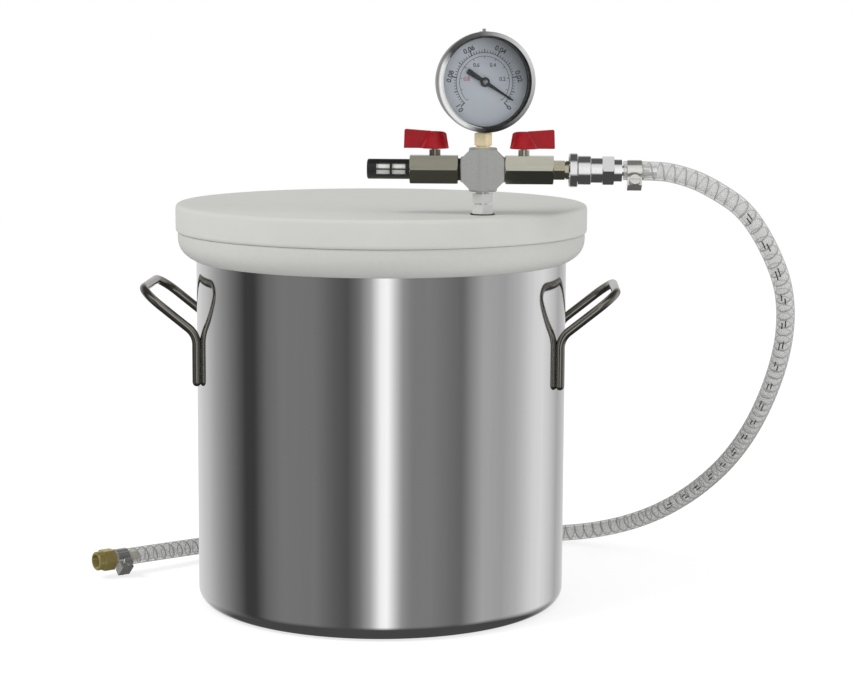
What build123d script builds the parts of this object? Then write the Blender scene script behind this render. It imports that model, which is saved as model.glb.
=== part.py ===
from build123d import *
import os
from math import acos, cos, pi, radians, sin, sqrt, tan

os.makedirs("parts", exist_ok=True)

# Vacuum chamber in millimetres. The origin is the pot's axis at its underside, +Z is up
# and the ports face -Y.

# Fits
running_fit = 0.05
seat_fit = 0.05
free_gap = 0.3

# Pot
pot_radius = 125.0
pot_wall = 1.0
pot_floor = 1.6
pot_height = 250.0
pot_corner = 10.0
flange_width = 6.0
flange_radius = pot_radius + flange_width

# Handles, bent from round rod and welded to the wall
rod_radius = 3.0
weld_flat = 0.5
leg_spacing = 80.0
tail_bottom_drop = 96.0
tail_top_drop = 64.0
grip_drop = 34.5
grip_stand_off = 33.0
tail_bottom = pot_height - tail_bottom_drop
tail_top = pot_height - tail_top_drop
grip_reach = pot_radius + grip_stand_off
grip_height = pot_height - grip_drop
grip_corner = 16.0
leg_bend = 14.0

# Gasket over the rim
gasket_width = 12.3
gasket_bead = 4.0
gasket_cushion = 3.0
gasket_skirt = 16.0
gasket_inner_skirt = 13.0
gasket_outer = pot_radius + gasket_width
gasket_inner = pot_radius - gasket_bead
gasket_top = pot_height + gasket_cushion
gasket_bottom = pot_height - gasket_skirt
gasket_lip = pot_height - gasket_inner_skirt
gasket_side = 5.0
gasket_belly = 10.0
gasket_foot = 15.6
gasket_edge_draw = 1.2
gasket_foot_draw = 5.6

# Lid
lid_overhang = 1.4
lid_radius = gasket_outer + lid_overhang
lid_thickness = 19.0
lid_edge = 2.5
port_depth = 12.0
port_bore = 3.5

# Manifold
manifold_from_side = 69.2
manifold_from_front = 44.7
manifold_x = lid_radius - manifold_from_side
manifold_y = manifold_from_front - lid_radius
thread_radius = 4.9
thread_length = 8.0
passage_radius = 2.4
lid_top = gasket_top + lid_thickness
cross_height = lid_top + 28.5
cross_half_width = 14.1
cross_half_height = 13.8
cross_arm = 8.2
cross_stem_arm = 8.95
cross_web = 20.5
cross_web_depth = 16.8
cross_edge = 0.6

nipple_flats = 12.7
nipple_washer = 7.9
nipple_washer_height = 0.6
nipple_hex_height = 6.0
nipple_groove = 0.9
nipple_waist = 5.6

# Mini ball valves
valve_flats = 17.6
valve_length = 30.5
valve_corner = 1.3
vent_start = 15.8
pump_start = 14.1
vent_stem_at = 14.7
pump_stem_at = 11.6
ball_radius = 5.5
ball_bore = 2.5
chamber_radius = 6.0
seat_inner = 3.0
seat_start = 3.2
seat_end = 6.5
neck_radius = 3.6
neck_top = 12.5
gland_radius = 3.0
gland_bottom = 9.6
gland_top = 11.2
stem_radius = 2.2
slot_width = 1.6
slot_depth = 1.5
drive_width = 3.0
drive_height = 6.5
lever_bottom = 13.2
lever_top = 23.5
hub_bottom_radius = 9.0
hub_top_radius = 7.6
fin_reach = 19.6
fin_thickness = 5.0
fin_tip_top = 25.4
skirt_height = 5.0
head_radius = 3.3
head_height = 1.6
head_recess = 4.0
head_recess_depth = 2.0
shank_radius = 1.1
shank_length = 5.0

# Vent filter
filter_length = 27.0
filter_radius = 6.35
filter_bore = 5.2
filter_cap = 6.0
filter_inner = 3.0
window_count = 10
window_length = 8.5
window_width = 3.1
window_first = 8.2
window_pitch = 9.9

# Quick coupler
plug_flats = 11.8
plug_hex_length = 7.0
plug_collar = 5.9
plug_collar_end = 10.4
plug_nose = 4.6
plug_nose_end = 26.0
plug_groove = 3.9
socket_start = 11.7
socket_radius = 7.2
neck_start = 23.4
coupler_neck = 7.85
coupler_neck_end = 30.6
coupler_flats = 17.4
coupler_hex_end = 38.0
coupler_collar = 7.0
coupler_collar_end = 43.0
barb_core = 3.3
barb_ridge = 3.95
barb_end = 65.0
barb_pitch = 5.0
locking_ball = 1.5
locking_ball_count = 6
locking_ball_at = 16.1
locking_ball_height = 5.45
seal_at = 21.0
seal_outer = 5.7
seal_width = 1.6
sleeve_start = 9.6
sleeve_flange = 10.7
sleeve_flange_end = 15.2
sleeve_body = 9.1
sleeve_end = 23.5
sleeve_mouth = 8.6
sleeve_land_start = 14.3
sleeve_land_end = 17.9
sleeve_skirt = 8.3
snap_ring_start = 13.2
snap_ring_end = 14.2
snap_ring_radius = 8.0
spring_wire = 0.28
spring_radius = 7.75
spring_turns = 3.5

# Gauge
gauge_rise = 55.0
gauge_height = cross_height + gauge_rise
gauge_turn = 16.0
case_radius = 30.2
case_wall = 1.2
case_front = 5.3
case_back = -15.0
case_back_step = 7.2
case_back_radius = case_radius - case_back_step
case_shoulder = -5.0
bezel_wall = 1.3
bezel_radius = case_radius + bezel_wall
bezel_front = 9.5
bezel_back = 3.6
bezel_lip = case_radius - bezel_wall
bezel_edge = 0.7
window_front = 8.3
window_back = 6.3
window_ring_width = 2.6
window_ring_inner = case_radius - window_ring_width
dial_front = 1.5
dial_thickness = 0.5
dial_gap = 1.1
dial_radius = case_radius - case_wall - dial_gap
dial_hole = 1.6
pointer_back = 2.6
pointer_front = 3.2
pointer_angle = -32.0
pointer_length = 21.7
pointer_tail = 13.6
pointer_hub = 3.0
pointer_tip_width = 1.0
pointer_root_width = 2.0
pointer_tail_width = 3.1
stem_flats = 10.0
stem_neck = 3.4
stem_hex_gap = 1.7
stem_hex_top = gauge_height - case_radius - stem_hex_gap
stem_hex_bottom = cross_height + cross_half_height + 1.4
stem_relief = 4.4
block_half_width = 8.0
block_foot_half_width = 4.8
block_top = -17.4
block_foot = -24.0
block_gap = 2.2
block_bottom = block_gap - case_radius
plate_back = -6.0
plate_front = -0.4
plate_thickness = 0.8
plate_half_width = 7.0
plate_top = 4.0
plate_bottom = -17.4
post_radius = 1.1
post_offset = 5.5
dial_post = 0.9
dial_post_y = -8.0
gear_back = -3.6
gear_front = -2.1
gear_module = 0.3
pinion_teeth = 12
sector_full_teeth = 90
sector_first_tooth = -2
sector_last_tooth = 10
pressure_angle = 25.0
tooth_height = 0.8
tooth_clearance = 1.15
backlash = 0.05
pinion_shaft = 0.6
sector_shaft = 0.7
sector_hub = 1.8
tube_radius = 20.0
tube_half_width = 1.2
tube_half_depth = 2.4
tube_start = -72.0
tube_end = 172.0
fill_hole = 2.5
fill_head = 3.0
fill_head_height = 1.4
fill_tip = 1.1
fill_tip_height = 3.1
fill_proud = 0.1
drill_reach = 5.2

# Hose
hose_radius = 6.0
hose_bore = 4.0
hose_start = 44.4
hose_share = 0.45
hose_turns = [
    (193.5, manifold_y, cross_height),
    (245.5, -92.0, 271.5),
    (276.5, -61.0, 205.0),
    (262.0, 30.0, 103.0),
    (218.0, 128.0, 34.0),
    (154.0, 173.0, hose_radius),
    (69.0, 175.0, hose_radius),
    (-30.0, 182.0, hose_radius),
    (-107.0, 142.0, hose_radius),
    (-143.0, 85.0, 12.5),
    (-194.5, 43.4, 12.5),
]

# Worm-drive clamps
band_thickness = 0.7
band_width = 9.0
band_inset = 6.5
housing_width = 9.5
housing_top = 11.6
worm_radius = 2.0
worm_height = 9.2
worm_length = 13.0
worm_tail = 5.9
worm_head = 3.2
worm_head_length = 2.6
worm_slot = 0.8
pump_clamp_spin = 205.0
end_clamp_spin = 225.0

# End fitting
fitting_flats = 14.0
fitting_hex_length = 8.6
fitting_socket = 6.7
fitting_length = 13.2
fitting_thread_depth = 9.0
fitting_barb_length = 20.0

vertical = Vector(0, 0, 1)
cross_centre = Vector(manifold_x, manifold_y, cross_height)
floor_plane = Plane.XY
manifold_plane = Plane(origin=(manifold_x, manifold_y, 0), z_dir=(0, 0, 1))
vent_axis = Plane(origin=cross_centre, x_dir=(0, 0, 1), z_dir=(-1, 0, 0))
pump_axis = Plane(origin=cross_centre, x_dir=(0, 0, 1), z_dir=(1, 0, 0))


def outline_plane(axis_plane):
    """Plane whose x is radial and whose y runs along the normal of axis_plane."""
    side = axis_plane.x_dir.cross(axis_plane.z_dir)
    return Plane(origin=axis_plane.origin, x_dir=axis_plane.x_dir, z_dir=side)


def turned(axis_plane, *corners):
    """Solid of revolution from (radius, height) corners about the normal of axis_plane."""
    with BuildPart() as piece:
        with BuildSketch(outline_plane(axis_plane)):
            with BuildLine():
                Polyline(*corners, close=True)
            make_face()
        revolve(axis=Axis(axis_plane.origin, axis_plane.z_dir))
    return piece


def tube(axis_plane, inner, outer, start, end):
    """Plain ring between two radii and two heights."""
    return turned(axis_plane, (inner, start), (outer, start), (outer, end), (inner, end))


def rod(axis_plane, radius, start, end):
    """Plain round bar between two heights."""
    return turned(axis_plane, (0, start), (radius, start), (radius, end), (0, end))


def hex_bar(axis_plane, flats, start, end, corner):
    """Hexagonal bar with its corners turned back at both ends."""
    reach = flats / 2 / cos(radians(30))
    with BuildPart() as piece:
        with BuildSketch(axis_plane.offset(start)):
            RegularPolygon(flats / 2, 6, major_radius=False, rotation=30)
        extrude(amount=end - start)
        add(
            turned(
                axis_plane,
                (0, start),
                (reach - corner, start),
                (reach, start + corner / 2),
                (reach, end - corner / 2),
                (reach - corner, end),
                (0, end),
            ).part,
            mode=Mode.INTERSECT,
        )
    return piece


def save(piece, name):
    """Writes one named piece."""
    piece.part.label = name
    export_step(piece.part, "parts/" + name + ".step")


# Pot: drawn body with its rim turned outward under the gasket
with BuildPart() as pot:
    with BuildSketch(Plane.XZ):
        with BuildLine():
            FilletPolyline(
                (0, 0),
                (pot_radius, 0),
                (pot_radius, pot_height - pot_wall),
                radius=pot_corner,
            )
            Polyline(
                (pot_radius, pot_height - pot_wall),
                (flange_radius, pot_height - pot_wall),
                (flange_radius, pot_height),
                (pot_radius - pot_wall, pot_height),
            )
            FilletPolyline(
                (pot_radius - pot_wall, pot_height),
                (pot_radius - pot_wall, pot_floor),
                (0, pot_floor),
                radius=pot_corner - pot_wall,
            )
            Line((0, pot_floor), (0, 0))
        make_face()
    revolve(axis=Axis.Z)
save(pot, "pot")


def bent_handle(side):
    """Rod handle on the wall towards side (+1 right, -1 left)."""
    half = leg_spacing / 2
    wall_gap = pot_radius + rod_radius - weld_flat
    tail_x = sqrt(wall_gap**2 - half**2)
    with BuildPart() as piece:
        with BuildLine():
            FilletPolyline(
                (side * tail_x, -half, tail_bottom),
                (side * tail_x, -half, tail_top),
                (side * grip_reach, -half, grip_height),
                (side * grip_reach, half, grip_height),
                (side * tail_x, half, tail_top),
                (side * tail_x, half, tail_bottom),
                radius=[leg_bend, grip_corner, grip_corner, leg_bend],
            )
        with BuildSketch(Plane((side * tail_x, -half, tail_bottom), z_dir=(0, 0, 1))):
            Circle(rod_radius)
        sweep()
        add(rod(floor_plane, pot_radius, 0, pot_height).part, mode=Mode.SUBTRACT)
    return piece


handle_left = bent_handle(-1)
handle_right = bent_handle(1)
save(handle_left, "handle_left")
save(handle_right, "handle_right")

# Gasket: moulded ring that wraps the turned rim
with BuildPart() as lid_gasket:
    with BuildSketch(Plane.XZ):
        with BuildLine():
            Line((gasket_inner, gasket_lip), (gasket_inner, gasket_top))
            Line((gasket_inner, gasket_top), (gasket_outer, gasket_top))
            Line((gasket_outer, gasket_top), (gasket_outer, gasket_top - gasket_side))
            Spline(
                (gasket_outer, gasket_top - gasket_side),
                (gasket_outer - gasket_edge_draw, gasket_top - gasket_belly),
                (gasket_outer - gasket_foot_draw, gasket_top - gasket_foot),
                (pot_radius, gasket_bottom),
            )
            Polyline(
                (pot_radius, gasket_bottom),
                (pot_radius, pot_height - pot_wall),
                (flange_radius, pot_height - pot_wall),
                (flange_radius, pot_height),
                (pot_radius - pot_wall, pot_height),
                (pot_radius - pot_wall, gasket_lip),
                (gasket_inner, gasket_lip),
            )
        make_face()
    revolve(axis=Axis.Z)
save(lid_gasket, "lid_gasket")

# Lid: clear plate with rounded edges and one tapped port
with BuildPart() as lid:
    with Locations((0, 0, gasket_top)):
        Cylinder(lid_radius, lid_thickness, align=(Align.CENTER, Align.CENTER, Align.MIN))
    fillet(lid.edges(), lid_edge)
    add(
        rod(manifold_plane, thread_radius, lid_top - port_depth, lid_top).part,
        mode=Mode.SUBTRACT,
    )
    add(
        rod(manifold_plane, port_bore, gasket_top, lid_top - port_depth).part,
        mode=Mode.SUBTRACT,
    )
save(lid, "lid")

# Nipple between lid and cross
washer_top = lid_top + nipple_washer_height
nipple_groove_bottom = washer_top + nipple_hex_height
nipple_groove_top = nipple_groove_bottom + nipple_groove
nipple_top = nipple_groove_top + nipple_hex_height
cross_bottom = cross_height - cross_half_height
nipple_plane = Plane(origin=manifold_plane.origin, x_dir=(1, 0, 0), z_dir=(0, 0, 1))
with BuildPart() as nipple:
    add(hex_bar(nipple_plane, nipple_flats, washer_top, nipple_groove_bottom, 0.6).part)
    add(hex_bar(nipple_plane, nipple_flats, nipple_groove_top, nipple_top, 0.6).part)
    add(rod(nipple_plane, nipple_waist, washer_top, nipple_top).part)
    add(rod(nipple_plane, thread_radius - seat_fit, lid_top - port_depth + 1.0, washer_top).part)
    add(rod(nipple_plane, thread_radius - seat_fit, nipple_top, cross_bottom + thread_length).part)
    add(
        rod(nipple_plane, passage_radius, lid_top - port_depth, cross_height).part,
        mode=Mode.SUBTRACT,
    )
save(nipple, "nipple")

nipple_seal = tube(nipple_plane, thread_radius, nipple_washer, lid_top, washer_top)
save(nipple_seal, "nipple_seal")

# Four-way cross
cross_up = Plane(origin=cross_centre, x_dir=(1, 0, 0), z_dir=(0, 0, 1))
cross_front = Plane(origin=cross_centre, x_dir=(1, 0, 0), z_dir=(0, -1, 0))


def cross_arm_bar(axis_plane, radius, reach):
    """One pair of arms, with turned-back ends."""
    return turned(
        axis_plane,
        (0, -reach),
        (radius - cross_edge, -reach),
        (radius, -reach + cross_edge),
        (radius, reach - cross_edge),
        (radius - cross_edge, reach),
        (0, reach),
    )


with BuildPart() as cross:
    add(cross_arm_bar(cross_up, cross_stem_arm, cross_half_height).part)
    add(cross_arm_bar(pump_axis, cross_arm, cross_half_width).part)
    with BuildSketch(cross_front):
        Rectangle(cross_web * sqrt(2), cross_web * sqrt(2), rotation=45)
        Rectangle(cross_stem_arm * 2 + 9, cross_arm * 2 + 9, mode=Mode.INTERSECT)
    extrude(amount=cross_web_depth / 2, both=True)
    for arm_plane, reach in ((cross_up, cross_half_height), (pump_axis, cross_half_width)):
        add(rod(arm_plane, passage_radius + 1.4, -reach, reach).part, mode=Mode.SUBTRACT)
        for start, end in ((-reach, thread_length + 0.7 - reach), (reach - thread_length - 0.7, reach)):
            add(rod(arm_plane, thread_radius, start, end).part, mode=Mode.SUBTRACT)
save(cross, "cross")

# Black seal ring behind the vent valve
vent_end_seal = tube(vent_axis, thread_radius, 7.0, cross_half_width, vent_start)
save(vent_end_seal, "vent_end_seal")


def ball_valve(prefix, port, start, stem_at):
    """Mini ball valve along port, with its stem at stem_at from its inner end."""
    end = start + valve_length
    middle = start + stem_at
    centre = port.origin + port.z_dir * middle
    upright = Plane(origin=centre, x_dir=(1, 0, 0), z_dir=(0, 0, 1))

    with BuildPart() as body:
        add(hex_bar(port, valve_flats, start, end, valve_corner).part)
        add(rod(port, thread_radius - seat_fit, start - thread_length, start).part)
        add(rod(upright, neck_radius, chamber_radius, neck_top).part)
        add(rod(port, passage_radius, start - thread_length, end).part, mode=Mode.SUBTRACT)
        add(rod(port, chamber_radius, middle - seat_end, end).part, mode=Mode.SUBTRACT)
        add(rod(upright, stem_radius + running_fit, 0, neck_top).part, mode=Mode.SUBTRACT)
        add(rod(upright, gland_radius, gland_bottom, gland_top).part, mode=Mode.SUBTRACT)

    seat_outer = chamber_radius - seat_fit
    dish_radius = ball_radius + running_fit
    dish_outer = sqrt(dish_radius**2 - seat_start**2)
    dish_inner = sqrt(dish_radius**2 - seat_inner**2)
    dish_middle = dish_radius / sqrt(2)
    with BuildPart() as seats:
        for way in (-1, 1):
            with BuildSketch(outline_plane(Plane(origin=centre, x_dir=port.x_dir, z_dir=port.z_dir))):
                with BuildLine():
                    Polyline(
                        (seat_inner, way * dish_inner),
                        (seat_inner, way * seat_end),
                        (seat_outer, way * seat_end),
                        (seat_outer, way * seat_start),
                        (dish_outer, way * seat_start),
                    )
                    ThreePointArc(
                        (dish_outer, way * seat_start),
                        (dish_middle, way * dish_middle),
                        (seat_inner, way * dish_inner),
                    )
                make_face()
        revolve(axis=Axis(centre, port.z_dir))

    with BuildPart() as retainer:
        add(tube(port, passage_radius, chamber_radius - seat_fit, middle + seat_end, end - 0.4).part)
        add(rod(port, thread_radius, end - thread_length - 0.4, end).part, mode=Mode.SUBTRACT)

    stem_seal = tube(upright, stem_radius + running_fit, gland_radius, gland_bottom, gland_top)

    with BuildPart() as ball:
        with Locations(centre):
            Sphere(ball_radius)
        add(rod(port, ball_bore, middle - ball_radius, middle + ball_radius).part, mode=Mode.SUBTRACT)
        with BuildSketch(upright.offset(ball_radius - slot_depth)):
            Rectangle(slot_width, ball_radius * 2)
        extrude(amount=slot_depth, mode=Mode.SUBTRACT)

    with BuildPart() as stem:
        with BuildSketch(upright.offset(ball_radius - slot_depth + seat_fit)):
            Rectangle(slot_width - seat_fit * 2, stem_radius * 1.8)
        extrude(amount=slot_depth)
        add(rod(upright, stem_radius, ball_radius + seat_fit, lever_bottom).part)
        with BuildSketch(upright.offset(lever_bottom)):
            Rectangle(drive_width, drive_width)
        extrude(amount=drive_height)
        add(
            rod(
                upright,
                shank_radius,
                lever_bottom + drive_height - shank_length,
                lever_bottom + drive_height,
            ).part,
            mode=Mode.SUBTRACT,
        )

    hub_side = Plane(origin=centre, x_dir=port.z_dir, z_dir=port.z_dir.cross(vertical))
    with BuildPart() as lever:
        add(
            turned(
                upright,
                (0, lever_bottom),
                (hub_bottom_radius, lever_bottom),
                (hub_top_radius, lever_top - 0.8),
                (hub_top_radius - 0.8, lever_top),
                (0, lever_top),
            ).part
        )
        with BuildSketch(hub_side):
            with BuildLine():
                Polyline(
                    (0, lever_bottom),
                    (fin_reach, lever_bottom),
                    (fin_reach - 0.5, fin_tip_top - 1.2),
                    (fin_reach - 1.7, fin_tip_top),
                    (hub_top_radius, lever_top + 0.6),
                    (0, lever_top),
                    close=True,
                )
            make_face()
        extrude(amount=fin_thickness / 2, both=True)
        with BuildSketch(Plane(origin=centre + vertical * lever_bottom, x_dir=port.z_dir, z_dir=(0, 0, 1))):
            with BuildLine():
                Polyline(
                    (0, -hub_top_radius),
                    (fin_reach * 0.75, -fin_thickness / 2),
                    (fin_reach * 0.75, fin_thickness / 2),
                    (0, hub_top_radius),
                    close=True,
                )
            make_face()
        extrude(amount=skirt_height)
        top_of_drive = lever_bottom + drive_height
        with BuildSketch(upright.offset(lever_bottom)):
            Rectangle(drive_width + seat_fit * 2, drive_width + seat_fit * 2)
        extrude(amount=drive_height, mode=Mode.SUBTRACT)
        add(rod(upright, shank_radius + seat_fit, top_of_drive, lever_top).part, mode=Mode.SUBTRACT)
        add(
            rod(upright, head_recess, lever_top - head_recess_depth, fin_tip_top).part,
            mode=Mode.SUBTRACT,
        )

    head_base = lever_top - head_recess_depth
    with BuildPart() as screw:
        add(rod(upright, head_radius, head_base, head_base + head_height).part)
        add(rod(upright, shank_radius - seat_fit, head_base - shank_length, head_base).part)
        with BuildSketch(upright.offset(head_base + head_height - 0.7)):
            Rectangle(0.8, head_radius * 1.3)
            Rectangle(head_radius * 1.3, 0.8)
        extrude(amount=0.7, mode=Mode.SUBTRACT)

    save(body, prefix + "_valve_body")
    save(seats, prefix + "_valve_seats")
    save(retainer, prefix + "_valve_retainer")
    save(stem_seal, prefix + "_stem_seal")
    save(ball, prefix + "_valve_ball")
    save(stem, prefix + "_valve_stem")
    save(lever, prefix + "_lever")
    save(screw, prefix + "_lever_screw")


ball_valve("vent", vent_axis, vent_start, vent_stem_at)
ball_valve("pump", pump_axis, pump_start, pump_stem_at)

# Vent filter
filter_axis = vent_axis.offset(vent_start + valve_length)
filter_cavity_end = filter_length - filter_cap
with BuildPart() as filter_cage:
    add(
        turned(
            filter_axis,
            (0, 0),
            (filter_radius - 0.4, 0),
            (filter_radius, 0.4),
            (filter_radius, filter_length - 0.8),
            (filter_radius - 0.8, filter_length),
            (0, filter_length),
        ).part
    )
    add(rod(filter_axis, thread_radius - seat_fit, -thread_length, 0).part)
    add(rod(filter_axis, filter_bore, 1.6, filter_cavity_end).part, mode=Mode.SUBTRACT)
    add(rod(filter_axis, passage_radius, -thread_length, 1.6).part, mode=Mode.SUBTRACT)
    window_planes = []
    for number in range(window_count):
        turn = radians(12 + number * 360 / window_count)
        outward = Vector(0, -cos(turn), sin(turn))
        for row in range(2):
            along = window_first + row * window_pitch - window_length / 2 + 1.4
            spot = filter_axis.origin + filter_axis.z_dir * along + outward * (filter_bore - 0.3)
            window_planes.append(Plane(origin=spot, x_dir=filter_axis.z_dir, z_dir=outward))
    with BuildSketch(*window_planes):
        Rectangle(window_length, window_width)
    extrude(amount=filter_radius - filter_bore + 1.0, mode=Mode.SUBTRACT)
save(filter_cage, "filter_cage")

filter_element = tube(filter_axis, filter_inner, filter_bore - 0.35, 1.6, filter_cavity_end)
save(filter_element, "filter_element")

# Quick coupler
coupler_axis = pump_axis.offset(pump_start + valve_length)
with BuildPart() as coupler_plug:
    add(hex_bar(coupler_axis, plug_flats, 0, plug_hex_length, 0.6).part)
    add(rod(coupler_axis, thread_radius - seat_fit, -thread_length, 0).part)
    add(
        turned(
            coupler_axis,
            (0, plug_hex_length - 1),
            (plug_collar - 0.6, plug_hex_length - 1),
            (plug_collar - 0.6, plug_hex_length + 0.6),
            (plug_collar, plug_hex_length + 0.6),
            (plug_collar, plug_collar_end),
            (plug_nose, plug_collar_end),
            (plug_nose, locking_ball_at - 1.7),
            (plug_groove, locking_ball_at - 1.0),
            (plug_groove, locking_ball_at + 1.0),
            (plug_nose, locking_ball_at + 1.7),
            (plug_nose, plug_nose_end - 1),
            (plug_nose - 1, plug_nose_end),
            (0, plug_nose_end),
        ).part
    )
    add(rod(coupler_axis, passage_radius, -thread_length, plug_nose_end).part, mode=Mode.SUBTRACT)
save(coupler_plug, "coupler_plug")

with BuildPart() as coupler_body:
    add(
        turned(
            coupler_axis,
            (0, socket_start),
            (socket_radius, socket_start),
            (socket_radius, neck_start),
            (coupler_neck, neck_start),
            (coupler_neck, coupler_neck_end),
            (0, coupler_neck_end),
        ).part
    )
    add(hex_bar(coupler_axis, coupler_flats, coupler_neck_end, coupler_hex_end, 1.2).part)
    ridge_corners = [(0, coupler_hex_end), (coupler_collar, coupler_hex_end)]
    ridge_corners.append((coupler_collar, coupler_collar_end))
    ridge_corners.append((barb_core, coupler_collar_end))
    ridge_start = coupler_collar_end + 3.0
    while ridge_start + barb_pitch <= barb_end:
        ridge_corners.append((barb_core, ridge_start))
        ridge_corners.append((barb_ridge, ridge_start + 0.4))
        ridge_corners.append((barb_core, ridge_start + barb_pitch - 0.6))
        ridge_start += barb_pitch
    ridge_corners.append((barb_core, barb_end))
    ridge_corners.append((0, barb_end))
    add(turned(coupler_axis, *ridge_corners).part)
    add(
        rod(coupler_axis, plug_nose + seat_fit, socket_start, plug_nose_end + 1).part,
        mode=Mode.SUBTRACT,
    )
    add(rod(coupler_axis, passage_radius, plug_nose_end, barb_end).part, mode=Mode.SUBTRACT)
    add(
        tube(
            coupler_axis,
            plug_nose,
            seal_outer,
            seal_at - seal_width / 2,
            seal_at + seal_width / 2,
        ).part,
        mode=Mode.SUBTRACT,
    )
    add(
        tube(
            coupler_axis,
            socket_radius - 0.6,
            socket_radius + 1,
            snap_ring_start,
            snap_ring_end,
        ).part,
        mode=Mode.SUBTRACT,
    )
    ball_planes = []
    for number in range(locking_ball_count):
        turn = radians(number * 360 / locking_ball_count)
        outward = Vector(0, cos(turn), sin(turn))
        spot = coupler_axis.origin + coupler_axis.z_dir * locking_ball_at
        ball_planes.append(Plane(origin=spot, x_dir=coupler_axis.z_dir, z_dir=outward))
    with BuildSketch(*ball_planes):
        Circle(locking_ball + seat_fit)
    extrude(amount=socket_radius + 1, mode=Mode.SUBTRACT)
save(coupler_body, "coupler_body")

coupler_seal = tube(
    coupler_axis,
    plug_nose,
    seal_outer,
    seal_at - seal_width / 2,
    seal_at + seal_width / 2,
)
save(coupler_seal, "coupler_seal")

with BuildPart() as coupler_balls:
    for number in range(locking_ball_count):
        turn = radians(number * 360 / locking_ball_count)
        outward = Vector(0, cos(turn), sin(turn)) * locking_ball_height
        with Locations(coupler_axis.origin + coupler_axis.z_dir * locking_ball_at + outward):
            Sphere(locking_ball)
save(coupler_balls, "coupler_balls")

snap_ring = tube(
    coupler_axis,
    socket_radius - 0.6,
    snap_ring_radius,
    snap_ring_start,
    snap_ring_end,
)
save(snap_ring, "coupler_snap_ring")

with BuildPart() as coupler_sleeve:
    add(
        turned(
            coupler_axis,
            (sleeve_mouth, sleeve_start),
            (sleeve_flange - 0.8, sleeve_start),
            (sleeve_flange, sleeve_start + 0.8),
            (sleeve_flange, sleeve_flange_end - 0.5),
            (sleeve_body, sleeve_flange_end + 0.4),
            (sleeve_body, sleeve_end - 0.4),
            (sleeve_body - 0.4, sleeve_end),
            (sleeve_skirt, sleeve_end),
            (sleeve_skirt, sleeve_land_end),
            (socket_radius + running_fit, sleeve_land_end),
            (socket_radius + running_fit, sleeve_land_start),
            (sleeve_mouth, sleeve_land_start),
        ).part
    )
save(coupler_sleeve, "coupler_sleeve")

# Sleeve spring between the sleeve's land and the shoulder of the neck
spring_first = sleeve_land_end + spring_wire + 0.02
spring_last = neck_start - spring_wire - 0.02
spring_height = spring_last - spring_first
spring_origin = coupler_axis.origin + coupler_axis.z_dir * spring_first
with BuildPart() as sleeve_spring:
    with BuildLine() as coil:
        Helix(
            pitch=spring_height / spring_turns,
            height=spring_height,
            radius=spring_radius,
            center=spring_origin,
            direction=coupler_axis.z_dir,
        )
    with BuildSketch(Plane(origin=coil.line @ 0, z_dir=coil.line % 0)):
        Circle(spring_wire)
    sweep(is_frenet=True)
save(sleeve_spring, "sleeve_spring")

# Gauge
gauge_right = Vector(cos(radians(gauge_turn)), sin(radians(gauge_turn)), 0)
gauge_out = Vector(sin(radians(gauge_turn)), -cos(radians(gauge_turn)), 0)
gauge_centre = Vector(manifold_x, manifold_y, gauge_height)
gauge = Plane(origin=gauge_centre, x_dir=gauge_right, z_dir=gauge_out)
gauge_stem = Plane(origin=(manifold_x, manifold_y, 0), x_dir=gauge_right, z_dir=(0, 0, 1))

with BuildPart() as gauge_case:
    add(
        turned(
            gauge,
            (0, case_back),
            (case_back_radius, case_back),
            (case_back_radius + 4, case_back + 2),
            (case_radius - 1, case_shoulder - 3),
            (case_radius, case_shoulder),
            (case_radius, case_front),
            (case_radius - case_wall, case_front),
            (case_radius - case_wall, case_shoulder),
            (case_radius - case_wall - 1, case_shoulder - 3),
            (case_back_radius + 3, case_back + 2 + case_wall),
            (case_back_radius - 0.5, case_back + case_wall),
            (0, case_back + case_wall),
        ).part
    )
    add(
        rod(
            gauge_stem,
            stem_neck,
            gauge_height - case_radius - drill_reach,
            gauge_height - case_radius + drill_reach,
        ).part,
        mode=Mode.SUBTRACT,
    )
    add(
        rod(
            gauge_stem,
            fill_hole,
            gauge_height + case_radius - drill_reach,
            gauge_height + case_radius + drill_reach,
        ).part,
        mode=Mode.SUBTRACT,
    )
save(gauge_case, "gauge_case")

gauge_bezel = turned(
    gauge,
    (case_radius, bezel_back),
    (bezel_radius, bezel_back),
    (bezel_radius, bezel_front - bezel_edge),
    (bezel_radius - bezel_edge, bezel_front),
    (bezel_lip + bezel_edge, bezel_front),
    (bezel_lip, bezel_front - bezel_edge),
    (bezel_lip, window_front),
    (case_radius, window_front),
)
save(gauge_bezel, "gauge_bezel")

gauge_window = rod(gauge, case_radius, window_back, window_front)
save(gauge_window, "gauge_window")

window_ring = tube(gauge, window_ring_inner, case_radius, case_front, window_back)
save(window_ring, "gauge_window_ring")

gauge_dial = tube(gauge, dial_hole, dial_radius, dial_front - dial_thickness, dial_front)
save(gauge_dial, "gauge_dial")

# Gauge tube: curved pressure tube fixed in the socket's block
wedge_reach = case_radius * 2
with BuildPart() as gauge_tube:
    with BuildSketch(gauge.offset((plate_back + plate_front) / 2 - tube_half_depth)):
        Circle(tube_radius + tube_half_width)
        Circle(tube_radius - tube_half_width, mode=Mode.SUBTRACT)
        with BuildLine():
            Line((0, 0), (wedge_reach * cos(radians(tube_end)), wedge_reach * sin(radians(tube_end))))
            Polyline(
                (wedge_reach * cos(radians(tube_end)), wedge_reach * sin(radians(tube_end))),
                (-wedge_reach, -wedge_reach),
                (wedge_reach * cos(radians(tube_start)), wedge_reach * sin(radians(tube_start))),
                (0, 0),
            )
        make_face(mode=Mode.SUBTRACT)
    extrude(amount=tube_half_depth * 2)
save(gauge_tube, "gauge_tube")

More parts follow.
